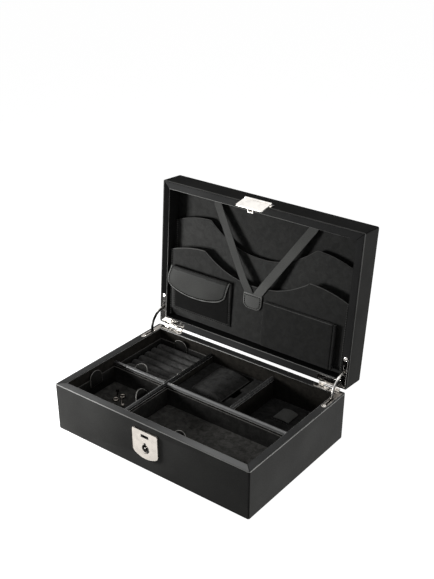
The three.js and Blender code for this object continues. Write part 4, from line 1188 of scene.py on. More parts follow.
def strap_holder():
    """The little arched holder sewn on the small pad."""
    low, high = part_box("strap_holder")
    thick, inset = 1.4 * MM, 0.35 * MM
    rise = 0.6 * (high.z - low.z - thick)

    def place(u, v):
        z = low.z + thick + eased(v / 0.16) * arch_height(u, rise, 0.5)
        return Vector((*inside(low, high, inset, u, v), z))

    shape = grid_sheet(place, 24, 24, thick - inset)
    # The holder takes a lighter copy of the strap leather: painted light.
    stand_in("strap_holder", shape, 60, "holder_leather")
    row = [(x, low.y - 1.6 * MM, low.z) for x in (low.x, high.x - 2 * MM)]
    sew("holder_stitches", [row], "base", "light_thread", Matrix(), Vector((0, 0, 1)))


# Lock, keys and hinges

# The post that the key slips over takes bright nickel this far behind the plate's face, a painted highlight. The rest
# of the barrel is painted dark
POST_DEPTH = 2.5 * MM
# The lock plate's rivets: how far from its middle and how high, and how far their feet are behind its face
LOCK_RIVET_X, LOCK_RIVET_Z, RIVET_SINK = 14.4 * MM, 27 * MM, 0.35 * MM


class JEWELBOX_OT_lock(bpy.types.Operator):
    """Polishes the lock plate and its works."""

    bl_idname = "jewelbox.lock"
    bl_label = "Lock"

    def execute(self, context):
        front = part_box("lock_plate")[0].y

        def at_face(edge):
            return all(abs(vertex.co.y - front) < 0.05 * MM for vertex in edge.verts)

        width = settings("box_metal").edge_round
        dress("lock_plate", "satin_nickel", width, 3, 0.3, at_face, "nickel", round_foot)
        lock_rims(front)
        lock_seat()
        for node in ("lock_case", "lock_bolt"):
            dress(node, "dark_nickel", 0.1 * MM, 1, 1.5)
        # The barrel is painted dark and its post is a painted highlight.
        barrel = dress("lock_barrel", "leaf_nickel", 0.1 * MM, 1, 1.5)
        recolour(barrel, "nickel", lambda face: face.center.y < front + POST_DEPTH)
        points = [(side * LOCK_RIVET_X, front + RIVET_SINK, LOCK_RIVET_Z) for side in (-1, 1)]
        rivets("lock_rivets", "base", points, Vector((0, -1, 0)), "satin_nickel")
        return {"FINISHED"}


def round_foot(shape):
    """Rounds the lock plate's two lower corners."""
    foot = 30 * MM
    edges = [
        edge for edge in shape.edges
        if all(vertex.co.z < foot and abs(vertex.co.x) > 20 * MM for vertex in edge.verts)
        and abs(edge.verts[0].co.y - edge.verts[1].co.y) > 1 * MM
    ]
    bmesh.ops.bevel(shape, geom=edges, offset=3.4 * MM, segments=7, profile=0.5, affect="EDGES")


def loop(width, height, corner):
    """A rounded rectangle about the origin as points."""
    x, y = width / 2 - corner, height / 2 - corner
    corners = (((x, y), 0), ((-x, y), 90), ((-x, -y), 180), ((x, -y), 270))
    return [point for centre, start in corners for point in arc(centre, corner, start, start + 90, 6)]


def frame_shape(outer, inner, thick):
    """A flat frame between two loops of as many points."""
    shape = bmesh.new()
    loops = ((outer, 0), (outer, thick), (inner, thick), (inner, 0))
    bridge(shape, [[shape.verts.new((x, y, z)) for x, y in points] for points, z in loops], around=True)
    return shape


# Heights of the keyhole's and the slot's middles
KEYHOLE_Z, SLOT_Z = 37.5 * MM, 54.9 * MM


def shadow_point(part, side):
    """A point of the curved shadow beside the keyhole, at a share of its length, on its far or near side."""
    return polar((6.6 + 2.0 * part + side * (0.9 - 0.75 * part)) * MM, math.radians(-15 - 100 * part))


def lock_rims(front):
    """The dark rims of the keyhole and the slot, with the keyhole's shadow."""
    thick = 0.03 * MM
    wide = arc((0.7 * MM, -0.6 * MM), 5.8 * MM, 0, 348.75, 31)
    shape = frame_shape(wide, arc((0, 0), 4.2 * MM, 0, 348.75, 31), thick)
    parts = [i / 14 for i in range(15)]
    shadow = [shadow_point(part, 1) for part in parts] + [shadow_point(part, -1) for part in reversed(parts)]
    join(shape, prism(shadow, 0, thick))
    join(shape, prism(arc((0, 5.9 * MM), 2.0 * MM, 0, 345, 23), 0, thick))
    turn(shape, Matrix.Translation((0, KEYHOLE_Z, 0)))
    slot = frame_shape(loop(12.8 * MM, 4.4 * MM, 0.8 * MM), loop(10.8 * MM, 2.3 * MM, 0.5 * MM), thick)
    turn(slot, Matrix.Translation((0, SLOT_Z, 0)))
    join(shape, slot)
    turn(shape, Matrix(((1, 0, 0, 0), (0, 0, -1, front), (0, 1, 0, 0), (0, 0, 0, 1))))
    add_shape("lock_rims", outward(shape), 0, "leaf_nickel", "base")


def lock_seat():
    """The dark seat under the lock plate: the plate's outline, a little larger and much thinner."""
    low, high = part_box("lock_plate")
    shape = merged_copy("lock_plate")
    round_foot(shape)
    grown, thinned = 0.6 * MM, 0.12
    middle, half = (low + high) / 2, (high - low) / 2
    for vertex in shape.verts:
        for axis in (0, 2):
            vertex.co[axis] = middle[axis] + (vertex.co[axis] - middle[axis]) * (1 + grown / half[axis])
        vertex.co.y = high.y + (vertex.co.y - high.y) * thinned
    add_shape("lock_seat", shape, 0, "leaf_nickel", "base")


def rivets(name, body, points, way, finish):
    """Small domed rivets on a plate."""
    shape = bmesh.new()
    profile = [(0.25, 1.05), (0.0, 1.05), (-0.2, 0.95), (-0.38, 0.7), (-0.48, 0.35), (-0.5, 0.03)]
    add_rod(shape, [(y * MM, radius * MM) for y, radius in profile], 16)
    turn(shape, Matrix.Rotation(math.radians(-90), 4, "X"))
    outward(shape)
    add_piece(name, copies(name, shape, points, way, finish), finish, body)


# Where the middle of each key's bow lies, in millimetres, and how far the key is turned, in radians
KEYS = {"key_one": (-112.0, -43.5, -2.56), "key_two": (-110.0, -32.0, 0.665)}


class JEWELBOX_OT_keys(bpy.types.Operator):
    """Makes the two keys with a ring bow, a collar, a shank and a cut bit."""

    bl_idname = "jewelbox.keys"
    bl_label = "Keys"

    def execute(self, context):
        for node, (x, y, angle) in KEYS.items():
            low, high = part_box(node)
            shape = key_shape()
            spot = (x * MM, y * MM, (low.z + high.z) / 2)
            turn(shape, Matrix.Translation(spot) @ Matrix.Rotation(angle, 4, "Z"))
            stand_in(node, shape, 35, "dark_nickel")
        return {"FINISHED"}


def add_ring(shape, radius, rod):
    """A ring about Z, added to a shape."""
    rings = []
    for heading in circle(36):
        away = Vector((*polar(1, heading), 0))
        spots = [away * (radius + x) + Vector((0, 0, z)) for x, z in (polar(rod, angle) for angle in circle(12))]
        rings.append([shape.verts.new(spot) for spot in spots])
    bridge(shape, rings, around=True)


def add_rod(shape, profile, around=20):
    """A turned rod along Y from (y, radius) pairs, added to a shape."""
    rings = []
    for y, radius in profile:
        rings.append([shape.verts.new((x, y, z)) for x, z in (polar(radius, angle) for angle in circle(around))])
    bridge(shape, rings)
    shape.faces.new(rings[0])
    shape.faces.new(rings[-1][::-1])


def key_shape():
    """A box key lying along Y, its bow at the origin."""
    rod = 1.2 * MM
    bow = 3.4 * MM
    end = -24 * MM
    shape = bmesh.new()
    add_ring(shape, bow, rod * 0.95)
    profile = [
        (-bow, rod * 0.9), (-5.6 * MM, rod * 0.9), (-5.6 * MM, rod), (-6.6 * MM, rod),
        (-6.6 * MM, rod * 0.8), (end, rod * 0.8),
    ]
    add_rod(shape, profile)
    bit = [(0, -24), (3.6, -24), (3.6, -22.8), (2.6, -22.8), (2.6, -21.8), (3.6, -21.8), (3.6, -20), (0, -20)]
    join(shape, prism([(x * MM, y * MM) for x, y in bit], -0.5 * MM, 0.5 * MM))
    return outward(shape)


# Painted reflection: the leaves take bright nickel behind this Y with the lid shut and near-black nickel in front of
# it, and the stays take a painted glint above this Z
BRIGHT_FROM = 100.4 * MM
STAY_GLINT = 98 * MM


class JEWELBOX_OT_hinges(bpy.types.Operator):
    """Polishes the quadrant hinges, their stays and their screws."""

    bl_idname = "jewelbox.hinges"
    bl_label = "Hinges"

    def execute(self, context):
        width = settings("box_metal").edge_round
        for side in ("left", "right"):
            # Each leaf is near-black nickel, painted shade and reflection, with bright nickel on its rounded edges
            # and at its back.
            for leaf, finish, matrix in (("base", "dull_nickel", Matrix()), ("lid", "leaf_nickel", TURN_SHUT)):
                piece = dress(f"{side}_{leaf}_leaf", finish, width * 0.7, 2, 1.2, None, "hinge_nickel")
                recolour(piece, "hinge_nickel", lambda face: (matrix @ face.center).y > BRIGHT_FROM)

            # Painted glint: the right stay's narrow faces and both stays' tops take bright nickel.
            def glints(face):
                return (side == "right" and abs(face.normal.x) < 0.5) or face.center.z > STAY_GLINT

            recolour(dress(f"{side}_stay", "leaf_nickel", width, 2, 0.4), "hinge_nickel", glints)
            dress(f"{side}_hinge_pin", "hinge_nickel", 0.15 * MM, 1, 0.1)
            leaf_bars(side)
        screws("base_screws", "base", ["left_base_screw", "right_base_screw"], Vector((0, 0, 1)))
        way = (TURN_OPEN.to_3x3() @ OUTWARD).normalized()
        screws("lid_screws", "lid", ["left_lid_screw", "right_lid_screw"], way)
        return {"FINISHED"}


# The painted-dark slot in each lid leaf: near and far X and near and far Y, in millimetres
LEAF_SLOTS = {"left": (-135.6, -125.0, 102.8, 105.0), "right": (125.0, 146.0, 102.0, 105.2)}


def leaf_bars(side):
    """The dark slot and the dark joint in each pair of leaves."""
    joint = (136.6, 138.7, 99.6, 106.1) if side == "right" else (-138.7, -136.6, 99.6, 106.1)
    half = Vector((0, 0, 0.1 * MM))
    for body, z, bars, matrix in (
        ("base", 71.8, [joint], Matrix()),
        ("lid", 72.1, [joint, LEAF_SLOTS[side]], TURN_OPEN),
    ):
        shape = bmesh.new()
        for x0, x1, y0, y1 in bars:
            low, high = Vector((x0, y0, z)) * MM - half, Vector((x1, y1, z)) * MM + half
            join(shape, rounded_block(low, high, 0.05 * MM, 2))
        turn(shape, matrix)
        add_shape(f"{side}_{body}_leaf_bars", shape, 0, "leaf_nickel", body)


# Height of a screw's domed head, which ends level with its leaf
SCREW_DOME = 0.9 * MM


def screw_shape():
    """A domed screw head with a cross recess, on its shank, with its head's rim at nothing."""
    radius, shank, depth = 2.6 * MM, 1.2 * MM, 6.9 * MM
    shape = bmesh.new()
    steps = 7
    rings = []
    for i in range(steps + 1):
        angle = math.pi / 2 * i / steps
        reach, height = radius * math.cos(angle), SCREW_DOME * math.sin(angle)
        ring = []
        for heading in circle(32):
            x, y = polar(reach, heading)
            slot = min(abs(x), abs(y)) < 0.34 * MM and max(abs(x), abs(y)) < 1.7 * MM
            ring.append(shape.verts.new((x, y, height - (0.7 * MM if slot else 0.0))))
        rings.append(ring)
    neck = [shape.verts.new((v.co.x * shank / radius, v.co.y * shank / radius, -0.75 * MM)) for v in rings[0]]
    tip = [shape.verts.new((v.co.x, v.co.y, -depth)) for v in neck]
    bridge(shape, [tip, neck, *rings])
    shape.faces.new(tip[::-1])
    shape.faces.new(rings[-1])
    bmesh.ops.remove_doubles(shape, verts=shape.verts, dist=1e-6)
    return outward(shape)


def screws(name, body, nodes, way):
    """One piece with a screw in place of each of the CAD screws."""
    points = []
    for node in nodes:
        low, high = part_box(node)
        reach = max(abs(way.y) * (high.y - low.y), abs(way.z) * (high.z - low.z)) / 2
        points.append((low + high) / 2 + way * (reach - SCREW_DOME))
    add_piece(name, copies(name, screw_shape(), points, way, "nickel"), "nickel", body, nodes)


# Lid: pockets, straps, pouch and hasp


def pocket_rule(node):
    """The curved top edge of a document pocket, as a rule of X. The numbers are its shape in the source."""
    side_y, peak_y, centre_y = {"upper_pocket": (-48.5, -62.5, -28.4), "lower_pocket": (-7, -20, 9)}[node]
    return shut_box(node)[1].x, 86 * MM, side_y * MM, peak_y * MM, centre_y * MM


def pocket_top(x, rule):
    """Y of a pocket's top edge at X."""
    half, peak_x, side_y, peak_y, centre_y = rule
    far = abs(x)
    if far <= peak_x:
        return centre_y + (peak_y - centre_y) * (far / peak_x) ** 2.2
    return peak_y + (side_y - peak_y) * ((far - peak_x) / (half - peak_x)) ** 2


# The lower pocket's panel bends back to the lining from this Y down, and so far, with the lid shut
FOOT_BEND = 81 * MM
FOOT_DEPTH = 8.2 * MM


def pocket(node):
    """A document pocket: a suede panel with a rolled top edge, side gussets and a foot."""
    low, high = shut_box(node)
    rule = pocket_rule(node)
    half = high.x
    thick = 1.3 * MM
    front = low.z

    def place(u, v):
        x = half * (2 * u - 1)
        top = pocket_top(x, rule)
        y = top + (high.y - 0.3 * MM - top) * v**1.5
        belly = 0.35 * MM * math.sin(math.pi * min(1.0, v * 1.1)) * (1 - (2 * u - 1) ** 4)
        ripple = 0.18 * MM * noise.noise(Vector((x * 28, y * 28, front * 400)))
        roll = 0.45 * MM * max(0.0, 1 - v / 0.012)
        bent = max(0.0, (y - FOOT_BEND) / (high.y - FOOT_BEND)) if node == "lower_pocket" else 0.0
        return Vector((x, y, front + 0.5 * MM - belly + ripple + roll + FOOT_DEPTH * bent**1.5))

    shape = grid_sheet(place, 120, 40, -thick)
    # The rolled top edge takes the second finish, a lighter copy of the suede: a painted highlight.
    mark(shape, lambda middle: middle.y < pocket_top(middle.x, rule) + 0.9 * MM)
    for side in (-1, 1):
        top = pocket_top(half, rule)
        near, far = sorted((side * half, side * (half - thick)))
        foot = (far, high.y, high.z)
        join(shape, rounded_block((near, top + 0.5 * MM, front + thick), foot, 0.3 * MM, 3))
    turn(shape, TURN_OPEN)
    # Each pocket takes its own copy of the lid suede, painted lighter or darker.
    stand_in(node, shape, 50, node + "_suede", "pocket_edge")


class JEWELBOX_OT_pockets(bpy.types.Operator):
    """Makes the lid's document pockets with their side stitching."""

    bl_idname = "jewelbox.pockets"
    bl_label = "Document pockets"

    def execute(self, context):
        runs = []
        for node in ("upper_pocket", "lower_pocket"):
            pocket(node)
            low, high = shut_box(node)
            rule = pocket_rule(node)
            for side in (-1, 1):
                x = side * (high.x - 3.4 * MM)
                runs.append([(x, pocket_top(x, rule) + 3 * MM, low.z), (x, high.y - 4 * MM, low.z)])
        sew("pocket_stitches", runs, "lid", "light_thread")
        return {"FINISHED"}


class JEWELBOX_OT_straps(bpy.types.Operator):
    """Makes the two straps and the D-shaped tab over their ends."""

    bl_idname = "jewelbox.straps"
    bl_label = "Straps"

    def execute(self, context):
        for side in ("left", "right"):
            # Painted light: the right strap takes the lighter tab leather.
            dress(f"{side}_strap", "strap_leather" if side == "left" else "tab_leather", 0.3 * MM, 2, 3)
        strap_tab()
        return {"FINISHED"}


def d_outline(low, high, corner, inset=0.0):
    """Outline of the D-shaped tab: square at its top and round at its foot."""
    left, right = low.x + inset, high.x - inset
    top, foot = low.y + inset, high.y - inset
    bend = corner - inset
    points = [(left, top), (right, top)]
    points += arc((right - bend, foot - bend), bend, 0, 90, 12)
    points += arc((left + bend, foot - bend), bend, 90, 180, 12)
    return points


def strap_tab():
    """The D-shaped tab, a little domed, with stitches all round."""
    low, high = shut_box("strap_tab")
    front = low.z + 0.35 * MM
    outline = d_outline(low, high, 10 * MM)
    shape = domed_panel(outline, front, 0.8 * MM, 0.6 * MM)
    block_low = (-11 * MM, low.y + 14 * MM, front + 0.4 * MM)
    join(shape, rounded_block(block_low, (11 * MM, high.y - 1 * MM, high.z), 0.3 * MM, 3))
    turn(shape, TURN_OPEN)
    stand_in("strap_tab", shape, 50, "tab_leather", "strap_edge")
    run = [(x, y, front - 0.25 * MM) for x, y in d_outline(low, high, 10 * MM, 2.4 * MM)]
    sew("strap_tab_stitches", [[*run, run[0]]], "lid", "dark_thread")


# The rings of a domed panel by their distance from its edge, in millimetres. The last ones are the welt.
PANEL_INSETS = (7.5, 5.0, 3.5, 2.9, 2.4, 1.9, 1.4, 0.9, 0.5, 0.2, 0.0)
WELT_RINGS = 5


def domed_panel(outline, front, thick, dome):
    """A leather panel from an outline, with a sewn border and a face that swells towards the viewer."""
    centre = Vector((sum(x for x, _ in outline), sum(y for _, y in outline))) / len(outline)
    reach = sum((Vector(point) - centre).length for point in outline) / len(outline)
    shape = bmesh.new()
    rings = []
    for inset in PANEL_INSETS:
        part = 1 - inset * MM / reach
        depth = front - dome * (1 - part**2) + border(inset * MM)
        flat = [centre + (Vector(point) - centre) * part for point in outline]
        rings.append([shape.verts.new((x, y, depth)) for x, y in flat])
    middle = shape.verts.new((centre.x, centre.y, front - dome))
    back = [shape.verts.new((x, y, front + thick)) for x, y in outline]
    for k, vertex in enumerate(rings[0]):
        shape.faces.new((middle, rings[0][k - 1], vertex))
    bridge(shape, rings[: -WELT_RINGS + 1])
    # The welt and the panel's sides take the second finish, a lighter copy: a painted highlight.
    for face in bridge(shape, [*rings[-WELT_RINGS:], back]):
        face.material_index = 1
    shape.faces.new(back)
    return outward(shape)


class JEWELBOX_OT_pouch(bpy.types.Operator):
    """Makes the flap pouch and the flat pocket in the lid."""

    bl_idname = "jewelbox.pouch"
    bl_label = "Pouch and flat pocket"

    def execute(self, context):
        pouch_body()
        pouch_flap()
        flat_pocket()
        return {"FINISHED"}


def pouch_body():
    """The pouch behind the flap: a thin bag with a fuller front inside a stitched border."""
    low, high = shut_box("pouch")
    left, right, foot, face = low.x + 6.6 * MM, high.x - 3.4 * MM, high.y - 3.6 * MM, low.z + 0.7 * MM
    sink_from = low.y + 12 * MM

    def sink(y):
        return 1.9 * MM * max(0.0, (y - sink_from) / (high.y - sink_from))

    shape = rounded_block((low.x, low.y, face), high, 1.0 * MM, 14)
    for vertex in shape.verts:
        vertex.co.z += sink(vertex.co.y) * (high.z - vertex.co.z) / (high.z - face)
    turn(shape, TURN_OPEN)
    stand_in("pouch", shape, 60, "lid_suede")

    def swell(place, share_of):
        if share_of.z > -0.9:
            return Vector()
        return Vector((0, 0, 0.3 * MM * fall(share_of) + 0.1 * MM * noise.noise(place * 60)))

    shape = rounded_block((left, low.y + 1 * MM, low.z), (right, foot, face + 0.6 * MM), 0.5 * MM, 14, swell)
    for vertex in shape.verts:
        vertex.co.z += sink(vertex.co.y)
    turn(shape, TURN_OPEN)
    # Painted shadow: the pouch's front takes a much darker copy of the lid suede.
    add_shape("pouch_front", shape, 60, "pouch_suede", "lid")
    border_width, border_top = 1.8 * MM, low.y + 30 * MM
    left, right, foot = left - border_width, right + border_width, foot + border_width
    corners = ((left, border_top), (left, foot), (right, foot), (right, border_top))
    sew("pouch_stitches", [[(x, y, face + sink(y)) for x, y in corners]], "lid", "dark_thread")


# The flap's outline from its top left corner down and round to its top right, in millimetres
FLAP_LEFT = ((-141.2, 15.0), (-144.2, 23.0), (-146.6, 30.0), (-147.4, 37.0))
FLAP_HEM = (
    (-147.4, 37.0), (-145.6, 42.0), (-140.6, 46.3), (-133.0, 49.4), (-124.0, 51.8), (-114.0, 53.6),
    (-103.9, 54.3), (-92.0, 54.2), (-80.2, 53.2), (-71.0, 51.7), (-62.9, 49.7), (-55.0, 46.8),
    (-48.9, 43.1), (-45.4, 39.6), (-43.8, 35.8),
)
FLAP_RIGHT = ((-37.4, 14.6), (-39.2, 19.0), (-41.5, 26.0), (-43.8, 35.8))
# Width of the flap's fold band, darkened with painted shade
FOLD_SHADE = 3.4 * MM


def along(points, part):
    """A point of a smooth curve through the points, at a share of its length."""
    count = len(points) - 1
    spot = min(max(part, 0.0), 1.0) * count
    index = min(int(spot), count - 1)
    t = spot - index
    p0, p1, p2, p3 = (Vector(points[min(max(index + k, 0), count)]) for k in (-1, 0, 1, 2))
    bend = (2 * p0 - 5 * p1 + 4 * p2 - p3) * t**2 + (3 * p1 - p0 - 3 * p2 + p3) * t**3
    return (2 * p1 + (p2 - p0) * t + bend) / 2


def border(distance):
    """Height of a sewn border by the distance from the edge: a round rim, a raised welt and a groove."""
    rim = max(0.0, 1 - distance / (0.9 * MM))
    groove = math.exp(-(((distance - 2.4 * MM) / (0.6 * MM)) ** 2))
    return 0.45 * MM * rim**2 + 0.32 * MM * groove


def flap_spot(u, v):
    """A point of the flap's outline patch in the plane of the lid."""
    top, foot = (Vector(FLAP_LEFT[end]).lerp(Vector(FLAP_RIGHT[end]), u) for end in (0, -1))
    sides = along(FLAP_LEFT, v).lerp(along(FLAP_RIGHT, v), u)
    return (top.lerp(along(FLAP_HEM, u), v) + sides - top.lerp(foot, v)) * MM


def flap_rim():
    """The flap's edge as a run of points from its top left round to its top right."""
    left = [along(FLAP_LEFT, i / 12) for i in range(12)]
    hem = [along(FLAP_HEM, i / 70) for i in range(71)]
    right = [along(FLAP_RIGHT, 1 - i / 12) for i in range(1, 13)]
    return [point * MM for point in (*left, *hem, *right)]


def flap_face(spot, front, rim):
    """Depth of the flap's face at a spot: it swells in its middle and sinks at its sewn border."""
    distance = min((spot - point).length for point in rim)
    swell = min(1.0, distance / (20 * MM))
    return front - 1.6 * MM * math.sin(math.pi / 2 * swell) + border(distance)


def pouch_flap():
    """The flap: leather folded over the pouch's top, swelling a little, with a stitched hem."""
    front = shut_box("pouch_flap")[0].z + 0.1 * MM
    fold = 2.2 * MM
    fold_share = 0.14
    rim = flap_rim()

    def place(u, v):
        part = math.sin(math.pi / 2 * (2 * u - 1)) * 0.5 + 0.5
        if v < fold_share:
            spot = flap_spot(part, 0.0)
            back = fold * (1 - math.sin(math.pi / 2 * v / fold_share))
            return Vector((spot.x, spot.y + back - fold * 0.6, flap_face(spot, front, rim) + back + 0.4 * MM))
        down = math.sin(math.pi / 2 * (v - fold_share) / (1 - fold_share))
        spot = flap_spot(part, down)
        near_fold = max(0.0, 1 - down * 8)
        depth = flap_face(spot, front, rim) + 0.4 * MM * near_fold
        return Vector((spot.x, spot.y - fold * 0.6 * near_fold, depth))

    shape = grid_sheet(place, 96, 60, -1.1 * MM)

    # The flap's rim takes the strap edge, a painted highlight. Its fold band takes painted shade, and the rest a
    # darker copy of the strap leather.
    def finish_at(middle):
        if min((middle.to_2d() - point).length for point in rim) < 1.4 * MM:
            return 1
        return 2 if middle.y < FLAP_LEFT[0][1] * MM + FOLD_SHADE else 0

    mark(shape, finish_at)
    turn(shape, TURN_OPEN)
    stand_in("pouch_flap", shape, 50, "flap_leather", "strap_edge", "fold_leather")
    sew("flap_stitches", [inner_run(rim, front, 2.4 * MM)], "flap", "dark_thread")


def inner_run(rim, face, inset):
    """A line of stitches that follows an edge at an inset, on its right as it is walked."""
    run = []
    for i, point in enumerate(rim):
        before, after = rim[max(i - 1, 0)], rim[min(i + 1, len(rim) - 1)]
        way = (after - before).normalized()
        spot = point + Vector((way.y, -way.x)) * inset
        run.append((spot.x, spot.y, face - 0.9 * MM))
    return run


def flat_pocket():
    """The flat pocket: a thin bag with a folded strip down its right side."""
    low, high = shut_box("flat_pocket")
    strip = 3.2 * MM
    panel_x = high.x - strip - 0.8 * MM
    shape = rounded_block(low, (panel_x, high.y, high.z), 0.7 * MM, 12)
    join(shape, rounded_block((high.x - strip, low.y + 0.6 * MM, low.z + 0.6 * MM), high, 0.6 * MM, 4))
    back_low = (panel_x - 2 * MM, low.y + 1 * MM, low.z + 2.2 * MM)
    join(shape, rounded_block(back_low, (high.x - 0.5 * MM, high.y, high.z), 0.3 * MM, 3))
    # The top and left edges take a lighter copy of the suede, a painted highlight. The panel takes a darker copy,
    # painted shade.
    mark(shape, lambda middle: middle.y < low.y + 0.9 * MM or middle.x < low.x + 0.6 * MM)
    turn(shape, TURN_OPEN)
    stand_in("flat_pocket", shape, 60, "flat_pocket_suede", "pocket_edge")


# Painted shade: the hasp's bracket is near-black nickel, with bright nickel below this height with the lid shut
BRACKET_BRIGHT = 75.6 * MM
# Where the foot of the bracket's right rivet is with the lid shut, in millimetres. The other one mirrors it.
HASP_RIVET = (15.5, -109.6, 77.2)


class JEWELBOX_OT_hasp(bpy.types.Operator):
    """Polishes the hasp, its bracket and its pin."""

    bl_idname = "jewelbox.hasp"
    bl_label = "Hasp"

    def execute(self, context):
        width = settings("box_metal").edge_round
        # Painted shade on the bracket, which lies in the plate's shadow, and bright nickel below it.
        bracket = dress("hasp_bracket", "leaf_nickel", width * 0.6, 2, 1.2)
        recolour(bracket, "hasp_nickel", lambda face: (TURN_SHUT @ face.center).z < BRACKET_BRIGHT)
        x, y, z = HASP_RIVET
        points = [TURN_OPEN @ Vector((side * x * MM, y * MM, z * MM)) for side in (-1, 1)]
        rivets("hasp_rivets", "lid", points, TURN_OPEN.to_3x3() @ Vector((0, -1, 0)), "satin_nickel")
        dress("hasp_plate", "hasp_nickel", width, 2, 1.0)
        dress("hasp_pin", "hasp_nickel", 0.15 * MM, 1, 0.1)
        return {"FINISHED"}


# Stage


CAMERA_AZIMUTH = math.radians(38.114)
CAMERA_ELEVATION = math.radians(29.738)
CAMERA_ROLL = math.radians(-0.332)
CAMERA_DISTANCE = 3.97595
CAMERA_RIGHT = 0.02418
CAMERA_UP = 0.35439
FOCAL_PIXELS = 933.52
AXIS_PIXEL = (205.05, 349.76)
PICTURE = (434, 579)
SENSOR = 36.0
FLOOR_REACH = 8.0
# Place, width and height, and target of each light. Its power is a setting with the light's name.
LIGHTS = {
    "key": ((-0.42, -0.23, 0.15), (0.14, 0.14), (-0.15, 0.0, 0.15)),
    "fill": ((0.95, 0.14, 0.16), (0.4, 0.3), (0.0, 0.0, 0.12)),
    "top": ((-0.1, -0.1, 1.2), (0.6, 0.6), (0.0, 0.0, 0.12)),
}


class JEWELBOX_OT_stage(bpy.types.Operator):
    """Sets the floor, the lights and the camera."""

    bl_idname = "jewelbox.stage"
    bl_label = "Stage"

    def execute(self, context):
        make_floor()
        make_world()
        make_lights()
        make_camera()
        context.scene.view_settings.view_transform = "Standard"
        return {"FINISHED"}


def seen_directly(tree):
    """A mask of the rays that show the background: from the camera, mirrors and glass."""
    path = put(tree, "ShaderNodeLightPath").outputs
    mirrored = arithmetic(tree, "MAXIMUM", path["Is Glossy Ray"], path["Is Transmission Ray"])
    return arithmetic(tree, "MAXIMUM", path["Is Camera Ray"], mirrored)


def make_floor():
    """A pale floor that is lifted to white where nothing shades it."""
    stage = settings("box_stage")
    z = CAD_BOX[0].z - 0.2 * MM
    mesh = bpy.data.meshes.new("floor")
    corners = ((-1, -1), (1, -1), (1, 1), (-1, 1))
    mesh.from_pydata([(x * FLOOR_REACH, y * FLOOR_REACH, z) for x, y in corners], [], [(0, 1, 2, 3)])
    material = bpy.data.materials.new("floor")
    material.use_nodes = True
    tree = material.node_tree
    tree.nodes.clear()
    matte = out(tree, "ShaderNodeBsdfDiffuse", {"Color": (*stage.floor, 1.0)})
    lift = arithmetic(tree, "MULTIPLY", seen_directly(tree), stage.floor_lift)
    glow = out(tree, "ShaderNodeEmission", {"Color": (1.0, 1.0, 1.0, 1.0), "Strength": lift})
    put(tree, "ShaderNodeOutputMaterial", {"Surface": out(tree, "ShaderNodeAddShader", {0: matte, 1: glow})})
    mesh.materials.append(material)
    add_object("floor", mesh)


def make_world():
    """White behind everything that the camera, a mirror or glass sees, and a dim room otherwise."""
    world = bpy.data.worlds.new("studio")
    bpy.context.scene.world = world
    world.use_nodes = True
    tree = world.node_tree
    strength = ramp(tree, seen_directly(tree), 0.0, 1.0, settings("box_stage").ambient, 1.0)
    feed(tree, tree.nodes["Background"], {"Color": (1.0, 1.0, 1.0, 1.0), "Strength": strength})


def make_lights():
    """Soft area lights: a low one at the front left, a weaker one at the right and one overhead."""
    for name, (place, size, target) in LIGHTS.items():
        lamp = bpy.data.lights.new(name, "AREA")
        lamp.shape = "RECTANGLE"
        lamp.size, lamp.size_y = size
        lamp.energy = getattr(settings("box_stage"), name + "_power")
        light = add_object(name, lamp)
        light.location = place
        light.rotation_euler = (Vector(target) - Vector(place)).to_track_quat("-Z", "Y").to_euler()
        light.visible_camera = False


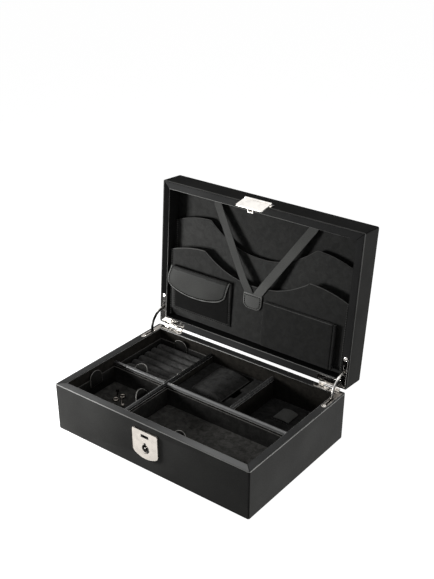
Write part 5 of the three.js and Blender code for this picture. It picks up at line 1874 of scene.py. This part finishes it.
def make_camera():
    """The camera at the photograph's viewing angle."""
    width = CAD_BOX[1].x - CAD_BOX[0].x
    lens = bpy.data.cameras.new("camera")
    long_side = max(PICTURE)
    lens.sensor_width = SENSOR
    lens.lens = FOCAL_PIXELS / long_side * SENSOR
    lens.shift_x = (PICTURE[0] / 2 - AXIS_PIXEL[0]) / long_side
    lens.shift_y = (AXIS_PIXEL[1] - PICTURE[1] / 2) / long_side
    lens.clip_start, lens.clip_end = 0.05, 50.0
    camera = add_object("camera", lens)
    camera.matrix_world = (
        Matrix.Rotation(CAMERA_AZIMUTH, 4, "Z")
        @ Matrix.Rotation(math.pi / 2 - CAMERA_ELEVATION, 4, "X")
        @ Matrix.Rotation(CAMERA_ROLL, 4, "Z")
        @ Matrix.Translation(Vector((CAMERA_RIGHT, CAMERA_UP, CAMERA_DISTANCE)) * width)
    )
    bpy.context.scene.camera = camera


class JEWELBOX_PT_panel(bpy.types.Panel):
    """Lists the pieces of the box."""

    bl_label = "Watch and jewellery box"
    bl_idname = "JEWELBOX_PT_panel"
    bl_space_type = "VIEW_3D"
    bl_region_type = "UI"
    bl_category = "Jewellery Box"

    def draw(self, context):
        for name, group in SETTINGS.items():
            column = self.layout.column(heading=group.__doc__)
            for key in group.__annotations__:
                column.prop(getattr(context.scene, name), key)
        for operator in OPERATORS:
            self.layout.operator(operator.bl_idname)


OPERATORS = (
    JEWELBOX_OT_shell,
    JEWELBOX_OT_linings,
    JEWELBOX_OT_trays,
    JEWELBOX_OT_rolls,
    JEWELBOX_OT_pads,
    JEWELBOX_OT_lock,
    JEWELBOX_OT_keys,
    JEWELBOX_OT_hinges,
    JEWELBOX_OT_pockets,
    JEWELBOX_OT_straps,
    JEWELBOX_OT_pouch,
    JEWELBOX_OT_hasp,
    JEWELBOX_OT_stage,
)
CLASSES = (*SETTINGS.values(), *OPERATORS, JEWELBOX_PT_panel)


def register():
    """Adds the classes and the settings."""
    for each in CLASSES:
        bpy.utils.register_class(each)
    for name, group in SETTINGS.items():
        setattr(bpy.types.Scene, name, bpy.props.PointerProperty(type=group))


def unregister():
    """Takes them away again."""
    for name in SETTINGS:
        delattr(bpy.types.Scene, name)
    for each in reversed(CLASSES):
        bpy.utils.unregister_class(each)


def main():
    """Makes every piece and writes the sizes."""
    register()
    for operator in OPERATORS:
        _, name = operator.bl_idname.split(".")
        getattr(bpy.ops.jewelbox, name)()


if __name__ == "__main__":
    main()
